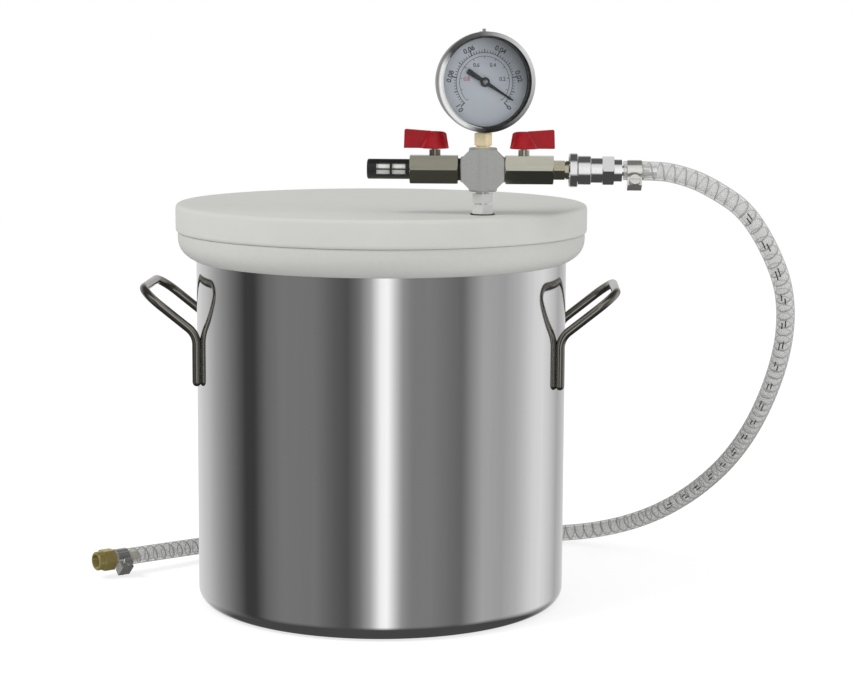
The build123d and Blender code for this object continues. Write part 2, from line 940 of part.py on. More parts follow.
with BuildPart() as gauge_socket:
    add(hex_bar(gauge_stem, stem_flats, stem_hex_bottom, stem_hex_top, 0.6).part)
    add(
        rod(
            gauge_stem,
            stem_relief,
            cross_height + cross_half_height,
            stem_hex_bottom,
        ).part
    )
    add(
        rod(
            gauge_stem,
            thread_radius - seat_fit,
            cross_height + cross_half_height - thread_length,
            cross_height + cross_half_height,
        ).part
    )
    add(rod(gauge_stem, stem_neck, stem_hex_top, gauge_height + block_bottom).part)
    with BuildSketch(gauge.offset(plate_back)):
        with Locations((0, (block_top + block_foot) / 2)):
            Rectangle(block_half_width * 2, block_top - block_foot)
        with Locations((0, (block_foot + block_bottom) / 2)):
            Rectangle(block_foot_half_width * 2, block_foot - block_bottom)
    extrude(amount=plate_front - plate_back)
    add(
        rod(
            gauge_stem,
            passage_radius,
            cross_height + cross_half_height - thread_length,
            gauge_height - tube_radius - tube_half_width,
        ).part,
        mode=Mode.SUBTRACT,
    )
    add(gauge_tube.part, mode=Mode.SUBTRACT)
save(gauge_socket, "gauge_socket")

pinion_radius = gear_module * pinion_teeth / 2
sector_radius = gear_module * sector_full_teeth / 2
gear_distance = pinion_radius + sector_radius


def movement_plate(back, front):
    """One plate of the movement, bored for both shafts."""
    with BuildPart() as piece:
        with BuildSketch(gauge.offset(back)):
            with Locations((0, (plate_top + plate_bottom) / 2)):
                Rectangle(plate_half_width * 2, plate_top - plate_bottom)
            Circle(pinion_shaft + running_fit, mode=Mode.SUBTRACT)
            with Locations((0, -gear_distance)):
                Circle(sector_shaft + running_fit, mode=Mode.SUBTRACT)
        extrude(amount=front - back)
    return piece


back_plate = movement_plate(plate_back, plate_back + plate_thickness)
with BuildPart() as movement_back:
    add(back_plate.part)
    with BuildSketch(gauge.offset(plate_back + plate_thickness)):
        with Locations((-post_offset, -gear_distance), (post_offset, -gear_distance)):
            Circle(post_radius)
    extrude(amount=plate_front - plate_back - plate_thickness * 2)
save(movement_back, "movement_back")

front_plate = movement_plate(plate_front - plate_thickness, plate_front)
with BuildPart() as movement_front:
    add(front_plate.part)
    with BuildSketch(gauge.offset(plate_front)):
        with Locations((-post_offset, dial_post_y), (post_offset, dial_post_y)):
            Circle(dial_post)
    extrude(amount=dial_front - dial_thickness - plate_front)
save(movement_front, "movement_front")


def tooth_corners(teeth, direction):
    """Corners of one involute tooth of a gear with this many teeth."""
    pitch_radius = gear_module * teeth / 2
    base_radius = pitch_radius * cos(radians(pressure_angle))
    root_radius = pitch_radius - gear_module * tooth_clearance
    tip_radius = pitch_radius + gear_module * tooth_height
    start_radius = max(base_radius, root_radius)
    involute_at_pitch = tan(radians(pressure_angle)) - radians(pressure_angle)
    half_angle = pi / (2 * teeth) - backlash / (2 * pitch_radius)
    flank = []
    steps = 3
    for step in range(steps + 1):
        radius = start_radius + (tip_radius - start_radius) * step / steps
        angle_here = acos(min(1.0, base_radius / radius))
        involute_here = tan(angle_here) - angle_here
        flank.append((radius, half_angle + involute_at_pitch - involute_here))
    flank.insert(0, (root_radius - 0.1, flank[0][1]))
    left = [(r * cos(direction + a), r * sin(direction + a)) for r, a in flank]
    right = [(r * cos(direction - a), r * sin(direction - a)) for r, a in flank]
    return left + right[::-1]


# Sector gear: below the pinion, with one tooth on the line between the centres at rest
sector_root = sector_radius - gear_module * tooth_clearance
sector_plane = Plane(
    origin=gauge_centre - vertical * gear_distance,
    x_dir=gauge_right,
    z_dir=gauge_out,
)
sector_step = 2 * pi / sector_full_teeth
sector_low = pi / 2 + (sector_first_tooth - 0.5) * sector_step
sector_high = pi / 2 + (sector_last_tooth + 0.5) * sector_step
with BuildPart() as gauge_sector:
    with BuildSketch(sector_plane.offset(gear_back)):
        with BuildLine():
            Line((0, 0), (sector_root * cos(sector_low), sector_root * sin(sector_low)))
            ThreePointArc(
                (sector_root * cos(sector_low), sector_root * sin(sector_low)),
                (
                    sector_root * cos((sector_low + sector_high) / 2),
                    sector_root * sin((sector_low + sector_high) / 2),
                ),
                (sector_root * cos(sector_high), sector_root * sin(sector_high)),
            )
            Line((sector_root * cos(sector_high), sector_root * sin(sector_high)), (0, 0))
        make_face()
        for number in range(sector_first_tooth, sector_last_tooth + 1):
            with BuildLine():
                corners = tooth_corners(sector_full_teeth, pi / 2 + number * sector_step)
                Polyline(*corners, close=True)
            make_face()
        Circle(sector_hub)
    extrude(amount=gear_front - gear_back)
    with BuildSketch(sector_plane.offset(plate_back)):
        Circle(sector_shaft)
    extrude(amount=plate_front - plate_back)
save(gauge_sector, "gauge_sector")

# Pinion: one tooth space faces the sector at rest
pinion_root = pinion_radius - gear_module * tooth_clearance
pinion_step = 2 * pi / pinion_teeth
with BuildPart() as gauge_pinion:
    with BuildSketch(gauge.offset(gear_back)):
        Circle(pinion_root)
        for number in range(pinion_teeth):
            with BuildLine():
                corners = tooth_corners(pinion_teeth, -pi / 2 + (number + 0.5) * pinion_step)
                Polyline(*corners, close=True)
            make_face()
    extrude(amount=gear_front - gear_back)
    with BuildSketch(gauge.offset(plate_back)):
        Circle(pinion_shaft)
    extrude(amount=pointer_front + 0.5 - plate_back)
save(gauge_pinion, "gauge_pinion")

pointer_turn = radians(pointer_angle)
pointer_plane = Plane(
    origin=gauge.offset(pointer_back).origin,
    x_dir=gauge_right * cos(pointer_turn) + vertical * sin(pointer_turn),
    z_dir=gauge_out,
)
with BuildPart() as gauge_pointer:
    with BuildSketch(pointer_plane):
        with BuildLine():
            Polyline(
                (0, -pointer_root_width / 2),
                (pointer_length, -pointer_tip_width / 2),
                (pointer_length, pointer_tip_width / 2),
                (0, pointer_root_width / 2),
                (-pointer_tail, pointer_tail_width / 2),
                (-pointer_tail, -pointer_tail_width / 2),
                close=True,
            )
        make_face()
        Circle(pointer_hub)
        Circle(pinion_shaft, mode=Mode.SUBTRACT)
    extrude(amount=pointer_front - pointer_back)
save(gauge_pointer, "gauge_pointer")

with BuildPart() as fill_plug:
    add(
        rod(
            gauge_stem,
            fill_hole,
            gauge_height + case_radius - case_wall - fill_proud,
            gauge_height + case_radius + fill_proud,
        ).part
    )
    add(
        rod(
            gauge_stem,
            fill_head,
            gauge_height + case_radius + fill_proud,
            gauge_height + case_radius + fill_head_height,
        ).part
    )
    add(rod(gauge_stem, fill_tip, gauge_height + case_radius, gauge_height + case_radius + fill_tip_height).part)
save(fill_plug, "gauge_fill_plug")

# Hose: straight runs joined by tangent arcs
hose_first = coupler_axis.origin + coupler_axis.z_dir * hose_start
hose_points = [hose_first]
for corner in hose_turns:
    hose_points.append(Vector(*corner))
hose_radii = []
for before, here, after in zip(hose_points, hose_points[1:], hose_points[2:]):
    into = here - before
    out = after - here
    turn = radians(into.get_angle(out))
    hose_radii.append(hose_share * min(into.length, out.length) / tan(turn / 2))
with BuildPart() as hose:
    with BuildLine() as hose_line:
        FilletPolyline(*hose_points, radius=hose_radii)
    hose_mouth = Plane(origin=hose_first, x_dir=(0, 0, 1), z_dir=coupler_axis.z_dir)
    with BuildSketch(hose_mouth):
        Circle(hose_radius)
        Circle(hose_bore, mode=Mode.SUBTRACT)
    sweep()
save(hose, "hose")

# Clamps and end fitting
end_direction = (hose_points[-1] - hose_points[-2]).normalized()
hose_end = Plane(origin=hose_points[-1], x_dir=(0, 0, 1), z_dir=end_direction)
clamp_start_plane = Plane(origin=hose_first, x_dir=(0, 0, 1), z_dir=coupler_axis.z_dir * -1)


def worm_clamp(prefix, end_plane, spin):
    """Worm-drive clamp near the hose end whose outward normal is that of end_plane."""
    middle = end_plane.offset(-band_inset)
    band = tube(middle, hose_radius, hose_radius + band_thickness, -band_width / 2, band_width / 2)
    outward = middle.x_dir * cos(radians(spin)) + middle.y_dir * sin(radians(spin))
    along = middle.z_dir
    across = along.cross(outward)
    housing_plane = Plane(
        origin=middle.origin + outward * (hose_radius + band_thickness),
        x_dir=across,
        z_dir=outward,
    )
    worm_plane = Plane(
        origin=middle.origin + outward * worm_height,
        x_dir=outward,
        z_dir=across,
    )
    with BuildPart() as housing:
        with BuildSketch(housing_plane.offset(-0.6)):
            Rectangle(housing_width, band_width)
        extrude(amount=housing_top - hose_radius - band_thickness + 0.6)
        add(
            rod(middle, hose_radius + band_thickness, -band_width, band_width).part,
            mode=Mode.SUBTRACT,
        )
        add(
            rod(worm_plane, worm_radius, -housing_width, housing_width).part,
            mode=Mode.SUBTRACT,
        )
    with BuildPart() as screw:
        add(rod(worm_plane, worm_radius, -worm_tail, worm_length / 2).part)
        add(
            hex_bar(
                worm_plane,
                worm_head * 2,
                worm_length / 2,
                worm_length / 2 + worm_head_length,
                0.5,
            ).part
        )
        with BuildSketch(worm_plane.offset(worm_length / 2 + worm_head_length - 1.0)):
            Rectangle(worm_slot, worm_head * 3)
        extrude(amount=1.0, mode=Mode.SUBTRACT)
    save(band, prefix + "_clamp_band")
    save(housing, prefix + "_clamp_housing")
    save(screw, prefix + "_clamp_screw")


worm_clamp("pump", clamp_start_plane, pump_clamp_spin)
worm_clamp("end", hose_end, end_clamp_spin)

with BuildPart() as hose_fitting:
    add(hex_bar(hose_end, fitting_flats, 0, fitting_hex_length, 0.6).part)
    add(
        turned(
            hose_end,
            (0, fitting_hex_length),
            (fitting_socket, fitting_hex_length),
            (fitting_socket, fitting_length - 0.6),
            (fitting_socket - 0.6, fitting_length),
            (0, fitting_length),
        ).part
    )
    barb_corners = [(0, 0), (barb_core, 0)]
    ridge_start = 3.0
    while ridge_start + barb_pitch <= fitting_barb_length:
        barb_corners.append((barb_core, -ridge_start))
        barb_corners.append((barb_ridge, -ridge_start - 0.4))
        barb_corners.append((barb_core, -ridge_start - barb_pitch + 0.6))
        ridge_start += barb_pitch
    barb_corners.append((barb_core, -fitting_barb_length))
    barb_corners.append((0, -fitting_barb_length))
    add(turned(hose_end, *barb_corners).part)
    add(
        rod(hose_end, thread_radius, fitting_length - fitting_thread_depth, fitting_length).part,
        mode=Mode.SUBTRACT,
    )
    add(
        rod(hose_end, passage_radius, -fitting_barb_length, fitting_length).part,
        mode=Mode.SUBTRACT,
    )
save(hose_fitting, "hose_fitting")
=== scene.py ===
"""Vacuum chamber: pot, gasket and lid, a manifold with gauge and valves, and a hose.

Lengths are in metres. The viewer stands on the -Y side and +X is to the right.
"""

import math

import bmesh
import bpy
from mathutils import Matrix, Vector


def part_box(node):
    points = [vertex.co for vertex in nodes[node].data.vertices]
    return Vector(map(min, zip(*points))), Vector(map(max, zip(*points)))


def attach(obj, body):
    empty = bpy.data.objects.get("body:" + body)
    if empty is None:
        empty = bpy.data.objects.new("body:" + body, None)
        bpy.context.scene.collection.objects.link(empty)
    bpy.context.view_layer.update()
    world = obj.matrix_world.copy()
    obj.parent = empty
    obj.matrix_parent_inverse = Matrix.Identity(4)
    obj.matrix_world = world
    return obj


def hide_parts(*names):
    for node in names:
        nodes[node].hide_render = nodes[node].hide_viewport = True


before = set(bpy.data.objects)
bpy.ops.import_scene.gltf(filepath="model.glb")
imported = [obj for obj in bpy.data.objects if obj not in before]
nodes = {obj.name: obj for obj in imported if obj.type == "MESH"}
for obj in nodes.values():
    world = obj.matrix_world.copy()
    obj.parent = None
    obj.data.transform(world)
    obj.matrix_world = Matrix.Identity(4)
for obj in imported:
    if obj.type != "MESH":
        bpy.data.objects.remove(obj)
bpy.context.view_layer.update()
scene = bpy.context.scene

UP = Vector((0, 0, 1))
ORIGIN = Vector((0, 0, 0))


# ---------------------------------------------------------------- colours and shader nodes
NOISE_LOW, NOISE_HIGH = 0.3, 0.7
FINE_DETAIL, SOFT_DETAIL = 3.0, 2.0
SMUDGE_SIZE = 12
LEAST_ROUGHNESS = 0.02
COAT_ROUGHNESS = 0.08


def tone(r, g, b):
    """Linear colour from display levels of 0 to 255."""
    out = []
    for shade in (r, g, b):
        v = shade / 255
        out.append(v / 12.92 if v <= 0.04045 else ((v + 0.055) / 1.055) ** 2.4)
    return (*out, 1.0)


def level(v):
    """Neutral linear colour."""
    return (v, v, v, 1.0)


def new_material(name):
    material = bpy.data.materials.new(name)
    material.use_nodes = True
    tree = material.node_tree
    return material, tree, tree.nodes["Principled BSDF"]


def noise(tree, scale, detail, stretch=(1, 1, 1)):
    """Noise in object space, so that it stays with the piece."""
    place = tree.nodes.new("ShaderNodeTexCoord")
    mapping = tree.nodes.new("ShaderNodeMapping")
    mapping.inputs["Scale"].default_value = stretch
    grain = tree.nodes.new("ShaderNodeTexNoise")
    grain.inputs["Scale"].default_value = scale
    grain.inputs["Detail"].default_value = detail
    tree.links.new(place.outputs["Object"], mapping.inputs["Vector"])
    tree.links.new(mapping.outputs["Vector"], grain.inputs["Vector"])
    return grain.outputs["Fac"]


def ramp(tree, source, stops):
    """Colour picked from (position, colour) stops."""
    node = tree.nodes.new("ShaderNodeValToRGB")
    node.color_ramp.elements[0].position = stops[0][0]
    node.color_ramp.elements[0].color = stops[0][1]
    node.color_ramp.elements[1].position = stops[-1][0]
    node.color_ramp.elements[1].color = stops[-1][1]
    for position, colour in stops[1:-1]:
        node.color_ramp.elements.new(position).color = colour
    tree.links.new(source, node.inputs["Fac"])
    return node.outputs["Color"]


def noisy(tree, scale, detail, low, high, stretch=(1, 1, 1)):
    """Colour that wanders between two others."""
    return ramp(tree, noise(tree, scale, detail, stretch), [(NOISE_LOW, low), (NOISE_HIGH, high)])


def mapped(tree, source, low, high, to_low=0.0, to_high=1.0):
    """Value carried from one range to another and held at its ends."""
    node = tree.nodes.new("ShaderNodeMapRange")
    node.inputs["From Min"].default_value = low
    node.inputs["From Max"].default_value = high
    node.inputs["To Min"].default_value = to_low
    node.inputs["To Max"].default_value = to_high
    tree.links.new(source, node.inputs["Value"])
    return node.outputs["Result"]


def combined(tree, operation, first, second):
    """Product, angle or larger of two values; the second may be a plain number."""
    node = tree.nodes.new("ShaderNodeMath")
    node.operation = operation
    tree.links.new(first, node.inputs[0])
    if isinstance(second, float):
        node.inputs[1].default_value = second
    else:
        tree.links.new(second, node.inputs[1])
    return node.outputs[0]


def colour_mix(tree):
    node = tree.nodes.new("ShaderNodeMix")
    node.data_type = "RGBA"
    return node


def multiplied(tree, first, second):
    """Product of two colours."""
    mix = colour_mix(tree)
    mix.blend_type = "MULTIPLY"
    mix.inputs["Factor"].default_value = 1.0
    tree.links.new(first, mix.inputs["A"])
    tree.links.new(second, mix.inputs["B"])
    return mix.outputs["Result"]


def tint(material, source, stops):
    """Multiplies a material's colour by a ramp."""
    tree = material.node_tree
    base = tree.nodes["Principled BSDF"].inputs["Base Color"]
    shades = ramp(tree, source, stops)
    tree.links.new(multiplied(tree, base.links[0].from_socket, shades), base)


def seen_directly(tree):
    """Light path, and 1 where a ray comes from the camera or through something clear."""
    rays = tree.nodes.new("ShaderNodeLightPath")
    camera_ray, through = rays.outputs["Is Camera Ray"], rays.outputs["Is Transmission Ray"]
    return rays, combined(tree, "MAXIMUM", camera_ray, through)


def surface(
    name,
    colour,
    roughness,
    metallic=0.0,
    spread=0.06,
    grain=900.0,
    stretch=(1, 1, 1),
    rough_spread=0.05,
    bump=0.05,
    bump_distance=0.0002,
    coat=0.0,
    specular=0.5,
):
    """General surface: a colour and a gloss that both vary a little, with a fine relief."""
    material, tree, shader = new_material(name)
    fine = noise(tree, grain, FINE_DETAIL, stretch)
    dark = tuple(c * (1 - spread) for c in colour[:3]) + (1.0,)
    light = tuple(min(1.0, c * (1 + spread)) for c in colour[:3]) + (1.0,)
    shades = ramp(tree, fine, [(NOISE_LOW, dark), (NOISE_HIGH, light)])
    tree.links.new(shades, shader.inputs["Base Color"])
    glossy = level(max(LEAST_ROUGHNESS, roughness - rough_spread))
    dull = level(roughness + rough_spread)
    smudge = noisy(tree, grain / SMUDGE_SIZE, SOFT_DETAIL, glossy, dull, stretch)
    tree.links.new(smudge, shader.inputs["Roughness"])
    shader.inputs["Metallic"].default_value = metallic
    shader.inputs["Specular IOR Level"].default_value = specular
    shader.inputs["Coat Weight"].default_value = coat
    shader.inputs["Coat Roughness"].default_value = COAT_ROUGHNESS
    if bump:
        relief = tree.nodes.new("ShaderNodeBump")
        relief.inputs["Strength"].default_value = bump
        relief.inputs["Distance"].default_value = bump_distance
        tree.links.new(fine, relief.inputs["Height"])
        tree.links.new(relief.outputs["Normal"], shader.inputs["Normal"])
    return material


# ---------------------------------------------------------------- mesh helpers
ON_AXIS = 1e-7
SAME_PLACE = 1e-7
UPRIGHT = 1e-4
LONGEST_ROUNDING = 0.49


def box_middle(node_name):
    low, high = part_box(node_name)
    return Vector([(a + b) / 2 for a, b in zip(low, high)])


def mesh_piece(name, bm, material, body, stand_for=(), sharp=35.0):
    """Turns a bmesh into a named piece that rides on a body."""
    bmesh.ops.recalc_face_normals(bm, faces=bm.faces)
    mesh = bpy.data.meshes.new(name)
    bm.to_mesh(mesh)
    bm.free()
    mesh.polygons.foreach_set("use_smooth", [True] * len(mesh.polygons))
    if sharp:
        mesh.set_sharp_from_angle(angle=math.radians(sharp))
    obj = bpy.data.objects.new(name, mesh)
    scene.collection.objects.link(obj)
    obj.data.materials.append(material)
    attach(obj, body)
    if stand_for:
        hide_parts(*stand_for)
    return obj


def basis(axis):
    """Two directions square to axis."""
    side = UP.cross(axis)
    if side.length < UPRIGHT:
        side = Vector((1, 0, 0))
    side.normalize()
    return side, axis.cross(side)


def frames_along(points):
    """Tangent, side and across at each point, carried along without twist."""
    out = []
    for index in range(len(points)):
        ahead = points[min(len(points) - 1, index + 1)]
        tangent = (ahead - points[max(0, index - 1)]).normalized()
        if out:
            last, side, _ = out[-1]
            side = (last.rotation_difference(tangent) @ side).normalized()
        else:
            side, _ = basis(tangent)
        out.append((tangent, side, tangent.cross(side).normalized()))
    return out


def ring_into(bm, centre, side, across, radius, sides):
    """Adds a circle of points."""
    ring = []
    for step in range(sides):
        turn = 2 * math.pi * step / sides
        outward = side * math.cos(turn) + across * math.sin(turn)
        ring.append(bm.verts.new(centre + outward * radius))
    return ring


def join_rings(bm, first, second):
    """Adds the faces between two circles of points; a circle may be a single point."""
    count = max(len(first), len(second))
    if count == 1:
        return
    for step in range(count):
        nxt = (step + 1) % count
        if len(first) == 1:
            bm.faces.new((first[0], second[step], second[nxt]))
        elif len(second) == 1:
            bm.faces.new((first[step], first[nxt], second[0]))
        else:
            bm.faces.new((first[step], first[nxt], second[nxt], second[step]))


def lathe_into(bm, profile, origin, axis, segments):
    """Adds a turned skin from (radius, height) pairs; it closes on the axis."""
    side, across = basis(axis)
    rings = []
    for radius, height in profile:
        centre = origin + axis * height
        if radius < ON_AXIS:
            rings.append([bm.verts.new(centre)])
        else:
            rings.append(ring_into(bm, centre, side, across, radius, segments))
    for first, second in zip(rings, rings[1:]):
        join_rings(bm, first, second)


def lathe(
    name, profile, origin, axis, segments, material, body, stand_for, sharp, loop=False
):
    """Makes a turned piece; a looped profile is closed on itself, away from the axis."""
    bm = bmesh.new()
    if loop:
        profile = profile + [profile[0]]
    lathe_into(bm, profile, origin, axis, segments)
    bmesh.ops.remove_doubles(bm, verts=bm.verts, dist=SAME_PLACE)
    return mesh_piece(name, bm, material, body, stand_for, sharp)


def rounded(corners, steps):
    """Profile with its inner corners rounded by up to half a side.

    The first and last corners are (radius, height), the others (radius, height, rounding).
    """
    out = [corners[0][:2]]
    for before, corner, after in zip(corners, corners[1:], corners[2:]):
        here = Vector(corner[:2])
        back = Vector(before[:2]) - here
        onward = Vector(after[:2]) - here
        reach = min(corner[2], back.length * LONGEST_ROUNDING, onward.length * LONGEST_ROUNDING)
        a = here + back.normalized() * reach
        b = here + onward.normalized() * reach
        for step in range(steps + 1):
            t = step / steps
            point = a * (1 - t) ** 2 + here * 2 * t * (1 - t) + b * t**2
            out.append((point.x, point.y))
    out.append(corners[-1][:2])
    return out


def tube_into(bm, points, radius, sides, closed_ends=True):
    """Adds a round bar along points, with its section carried square to the path."""
    rings = [
        ring_into(bm, point, side, across, radius, sides)
        for point, (_, side, across) in zip(points, frames_along(points))
    ]
    for first, second in zip(rings, rings[1:]):
        join_rings(bm, first, second)
    if closed_ends:
        bm.faces.new(list(reversed(rings[0])))
        bm.faces.new(rings[-1])
    return rings


def plate_into(bm, near, far):
    """Adds a closed plate between two matching outlines."""
    near = [bm.verts.new(point) for point in near]
    far = [bm.verts.new(point) for point in far]
    bm.faces.new(near)
    bm.faces.new(list(reversed(far)))
    join_rings(bm, near, far)


def strip_into(bm, pairs):
    """Adds a flat ribbon through pairs of points."""
    rows = [[bm.verts.new(point) for point in pair] for pair in pairs]
    for one, two in zip(rows, rows[1:]):
        bm.faces.new((one[0], one[1], two[1], two[0]))


# ---------------------------------------------------------------- camera
CAMERA_AZIMUTH = math.radians(3.3)
CAMERA_HEADING = math.radians(2.16)
CAMERA_ROLL = math.radians(0.3)
CAMERA_PITCH = math.radians(8.04)
CAMERA_DISTANCE = 1.548
CAMERA_HEIGHT = 0.390
LENS_MM = 96.7
SENSOR_MM = 36.0

camera_data = bpy.data.cameras.new("camera")
camera = bpy.data.objects.new("camera", camera_data)
scene.collection.objects.link(camera)
camera_data.sensor_width = SENSOR_MM
camera_data.lens = LENS_MM
camera_data.clip_end = 20.0
camera.location = (
    CAMERA_DISTANCE * math.sin(CAMERA_AZIMUTH),
    -CAMERA_DISTANCE * math.cos(CAMERA_AZIMUTH),
    CAMERA_HEIGHT,
)
heading = Matrix.Rotation(CAMERA_HEADING, 4, "Z")
tilt = Matrix.Rotation(math.pi / 2 - CAMERA_PITCH, 4, "X")
camera.rotation_euler = (heading @ tilt @ Matrix.Rotation(CAMERA_ROLL, 4, "Z")).to_euler()
scene.camera = camera
scene.view_settings.view_transform = "Standard"

# ---------------------------------------------------------------- materials
# Each is (name, colour, roughness, metallic share). The pot's steel is drawn upright,
# so its grain is stretched along Z.
steel = surface(
    "polished_stainless", level(0.80), 0.07, 1.0, spread=0.015, grain=260.0,
    stretch=(1, 1, 0.03), rough_spread=0.015, bump=0.0,
)
rod_steel = surface("handle_steel", tone(150, 147, 140), 0.14, 1.0, spread=0.05, grain=500.0)
gasket_white = surface(
    "silicone_gasket", tone(198, 199, 194), 0.75, spread=0.015, grain=300.0, bump=0.03
)
acrylic = surface(
    "acrylic_lid", tone(204, 205, 200), 0.42, spread=0.01, grain=60.0, rough_spread=0.04, bump=0.0
)
bright = surface("nipple_chrome", tone(246, 246, 244), 0.14, 0.5, spread=0.03, grain=800.0)
cast = surface(
    "cross_grey", tone(168, 169, 166), 0.5, 0.25, spread=0.08, grain=1400.0, bump=0.25,
    bump_distance=0.0003,
)
nickel = surface("nickel", tone(214, 212, 200), 0.16, 1.0, spread=0.05, bump=0.03)
chrome = surface("coupler_chrome", tone(240, 240, 240), 0.1, 1.0, spread=0.04, bump=0.02)
nickel_warm = surface("coupler_plug_nickel", tone(200, 195, 172), 0.2, 1.0, bump=0.03)
# The valve bodies are drawn along the manifold
BAR = {"spread": 0.05, "grain": 700.0, "stretch": (0.2, 4, 4)}
# Painted shade: the vent valve is the same nickel as the pump valve, given a darker colour for the
# shade it stands in
nickel_vent_painted_shade = surface("vent_valve_nickel_painted_shade", tone(166, 163, 148), 0.2, 1.0, **BAR)
nickel_pump = surface("pump_valve_nickel", tone(214, 212, 196), 0.2, 1.0, **BAR)
tin = surface("bearing_steel", tone(200, 200, 198), 0.2, 1.0, spread=0.04)
rubber = surface("black_rubber", tone(28, 28, 28), 0.55, spread=0.2)
seat_white = surface("white_ptfe", tone(236, 236, 232), 0.4, spread=0.03)
red = surface(
    "red_enamel", tone(154, 14, 26), 0.34, spread=0.08, grain=400.0, bump=0.06,
    coat=0.12, specular=0.3,
)
black_plastic = surface("black_plastic", tone(26, 26, 27), 0.35, spread=0.2)
felt = surface(
    "white_felt", tone(232, 232, 228), 0.9, grain=1800.0, bump=0.6, bump_distance=0.0004
)
gauge_steel = surface("gauge_stainless", tone(206, 206, 200), 0.1, 1.0, spread=0.03, grain=600.0)
case_steel = surface("gauge_case_steel", tone(150, 152, 148), 0.22, 1.0, spread=0.05, grain=600.0)
plug_grey = surface("fill_plug", tone(150, 152, 152), 0.5, spread=0.1)
dial_paint = surface(
    "dial_white", tone(191, 194, 203), 0.45, spread=0.015, grain=300.0, bump=0.0
)
ink = surface("dial_ink", tone(34, 36, 42), 0.5, spread=0.1, bump=0.0)
ink_red = surface("dial_red_ink", tone(172, 60, 78), 0.5, spread=0.1, bump=0.0)
black_paint = surface("black_paint", tone(6, 6, 8), 0.7, spread=0.2, specular=0.1)
brass = surface("brass", tone(250, 234, 192), 0.42, 0.2)
olive = surface("olive_brass", tone(196, 180, 112), 0.3, 0.7, spread=0.1)
clamp_steel = surface("clamp_steel", tone(226, 225, 220), 0.16, 0.88, spread=0.08, grain=700.0)
wire_steel = surface("hose_wire", tone(104, 104, 100), 0.4, 0.3, spread=0.05)
hose_ink = surface("hose_marks", tone(70, 70, 70), 0.6, spread=0.1, bump=0.0)
screw_steel = surface("pointer_screw", tone(120, 118, 116), 0.4, 0.7, spread=0.05)
# Painted highlight for the bright edge of the gauge's liquid
glint = surface("liquid_edge_painted_glint", tone(250, 250, 248), 0.3, spread=0.01, grain=300.0)

glass, tree, shader = new_material("gauge_glass")
shader.inputs["Base Color"].default_value = (0.96, 0.98, 0.98, 1)
shader.inputs["Roughness"].default_value = 0.0
shader.inputs["IOR"].default_value = 1.3
shader.inputs["Transmission Weight"].default_value = 1.0

# Liquid in the gauge: a faint grey veil
liquid_look, tree, shader = new_material("gauge_liquid")
veil = noisy(tree, 90.0, SOFT_DETAIL, tone(178, 186, 190), tone(192, 198, 202))
tree.links.new(veil, shader.inputs["Base Color"])
shader.inputs["Roughness"].default_value = 0.3
shader.inputs["Alpha"].default_value = 0.03

# Hose skin: milky and nearly clear face on, greyer and denser where it is seen along its wall
hose_clear, tree, shader = new_material("clear_hose")
facing = tree.nodes.new("ShaderNodeLayerWeight")
facing.inputs["Blend"].default_value = 0.5
edge_on = facing.outputs["Facing"]
cloud = noisy(tree, 300.0, FINE_DETAIL, level(0.94), level(1.0))
skin_tone = ramp(tree, edge_on, [(0.55, tone(224, 225, 222)), (0.95, tone(128, 129, 126))])
tree.links.new(multiplied(tree, skin_tone, cloud), shader.inputs["Base Color"])
shader.inputs["Roughness"].default_value = 0.2
tree.links.new(mapped(tree, edge_on, 0.35, 1.0, 0.40, 0.90), shader.inputs["Alpha"])


# Painted shade: the valve bodies' colour is darkened on the sides that face down, standing in for
# the dark they mirror there
def painted_shade_below(material, dark):
    tree = material.node_tree
    facing = tree.nodes.new("ShaderNodeNewGeometry")
    split = tree.nodes.new("ShaderNodeSeparateXYZ")
    tree.links.new(facing.outputs["Normal"], split.inputs[0])
    upward = mapped(tree, split.outputs["Z"], -0.45, -0.15)
    tint(material, upward, [(0.0, level(dark)), (1.0, level(1.0))])


painted_shade_below(nickel_vent_painted_shade, 0.22)
painted_shade_below(nickel_pump, 0.6)

# Where the gauge stands: over the nipple, turned a little to the right
GAUGE_TURN = math.radians(16)
gauge_centre = box_middle("nipple")
gauge_centre.z = box_middle("gauge_bezel").z
gauge_right = Vector((math.cos(GAUGE_TURN), math.sin(GAUGE_TURN), 0))
gauge_out = Vector((math.sin(GAUGE_TURN), -math.cos(GAUGE_TURN), 0))


def reach_along(tree, way):
    """How far a place lies from the gauge's centre along a direction."""
    place = tree.nodes.new("ShaderNodeTexCoord")
    offset = tree.nodes.new("ShaderNodeVectorMath")
    offset.operation = "SUBTRACT"
    offset.inputs[1].default_value = gauge_centre
    tree.links.new(place.outputs["Object"], offset.inputs[0])
    reach = tree.nodes.new("ShaderNodeVectorMath")
    reach.operation = "DOT_PRODUCT"
    reach.inputs[1].default_value = way
    tree.links.new(offset.outputs["Vector"], reach.inputs[0])
    return reach.outputs["Value"]


# Painted shade: the dial's colour darkens towards its upper right, where the bezel shades it
SHADE_WAY = (0.74, 0.21, 0.64)
SHADE_REACH = 0.03
across_dial = reach_along(dial_paint.node_tree, SHADE_WAY)
tint(
    dial_paint,
    mapped(dial_paint.node_tree, across_dial, -SHADE_REACH, SHADE_REACH),
    [(0.0, level(1.0)), (0.55, level(0.95)), (0.76, level(0.66)), (1.0, level(0.20))],
)
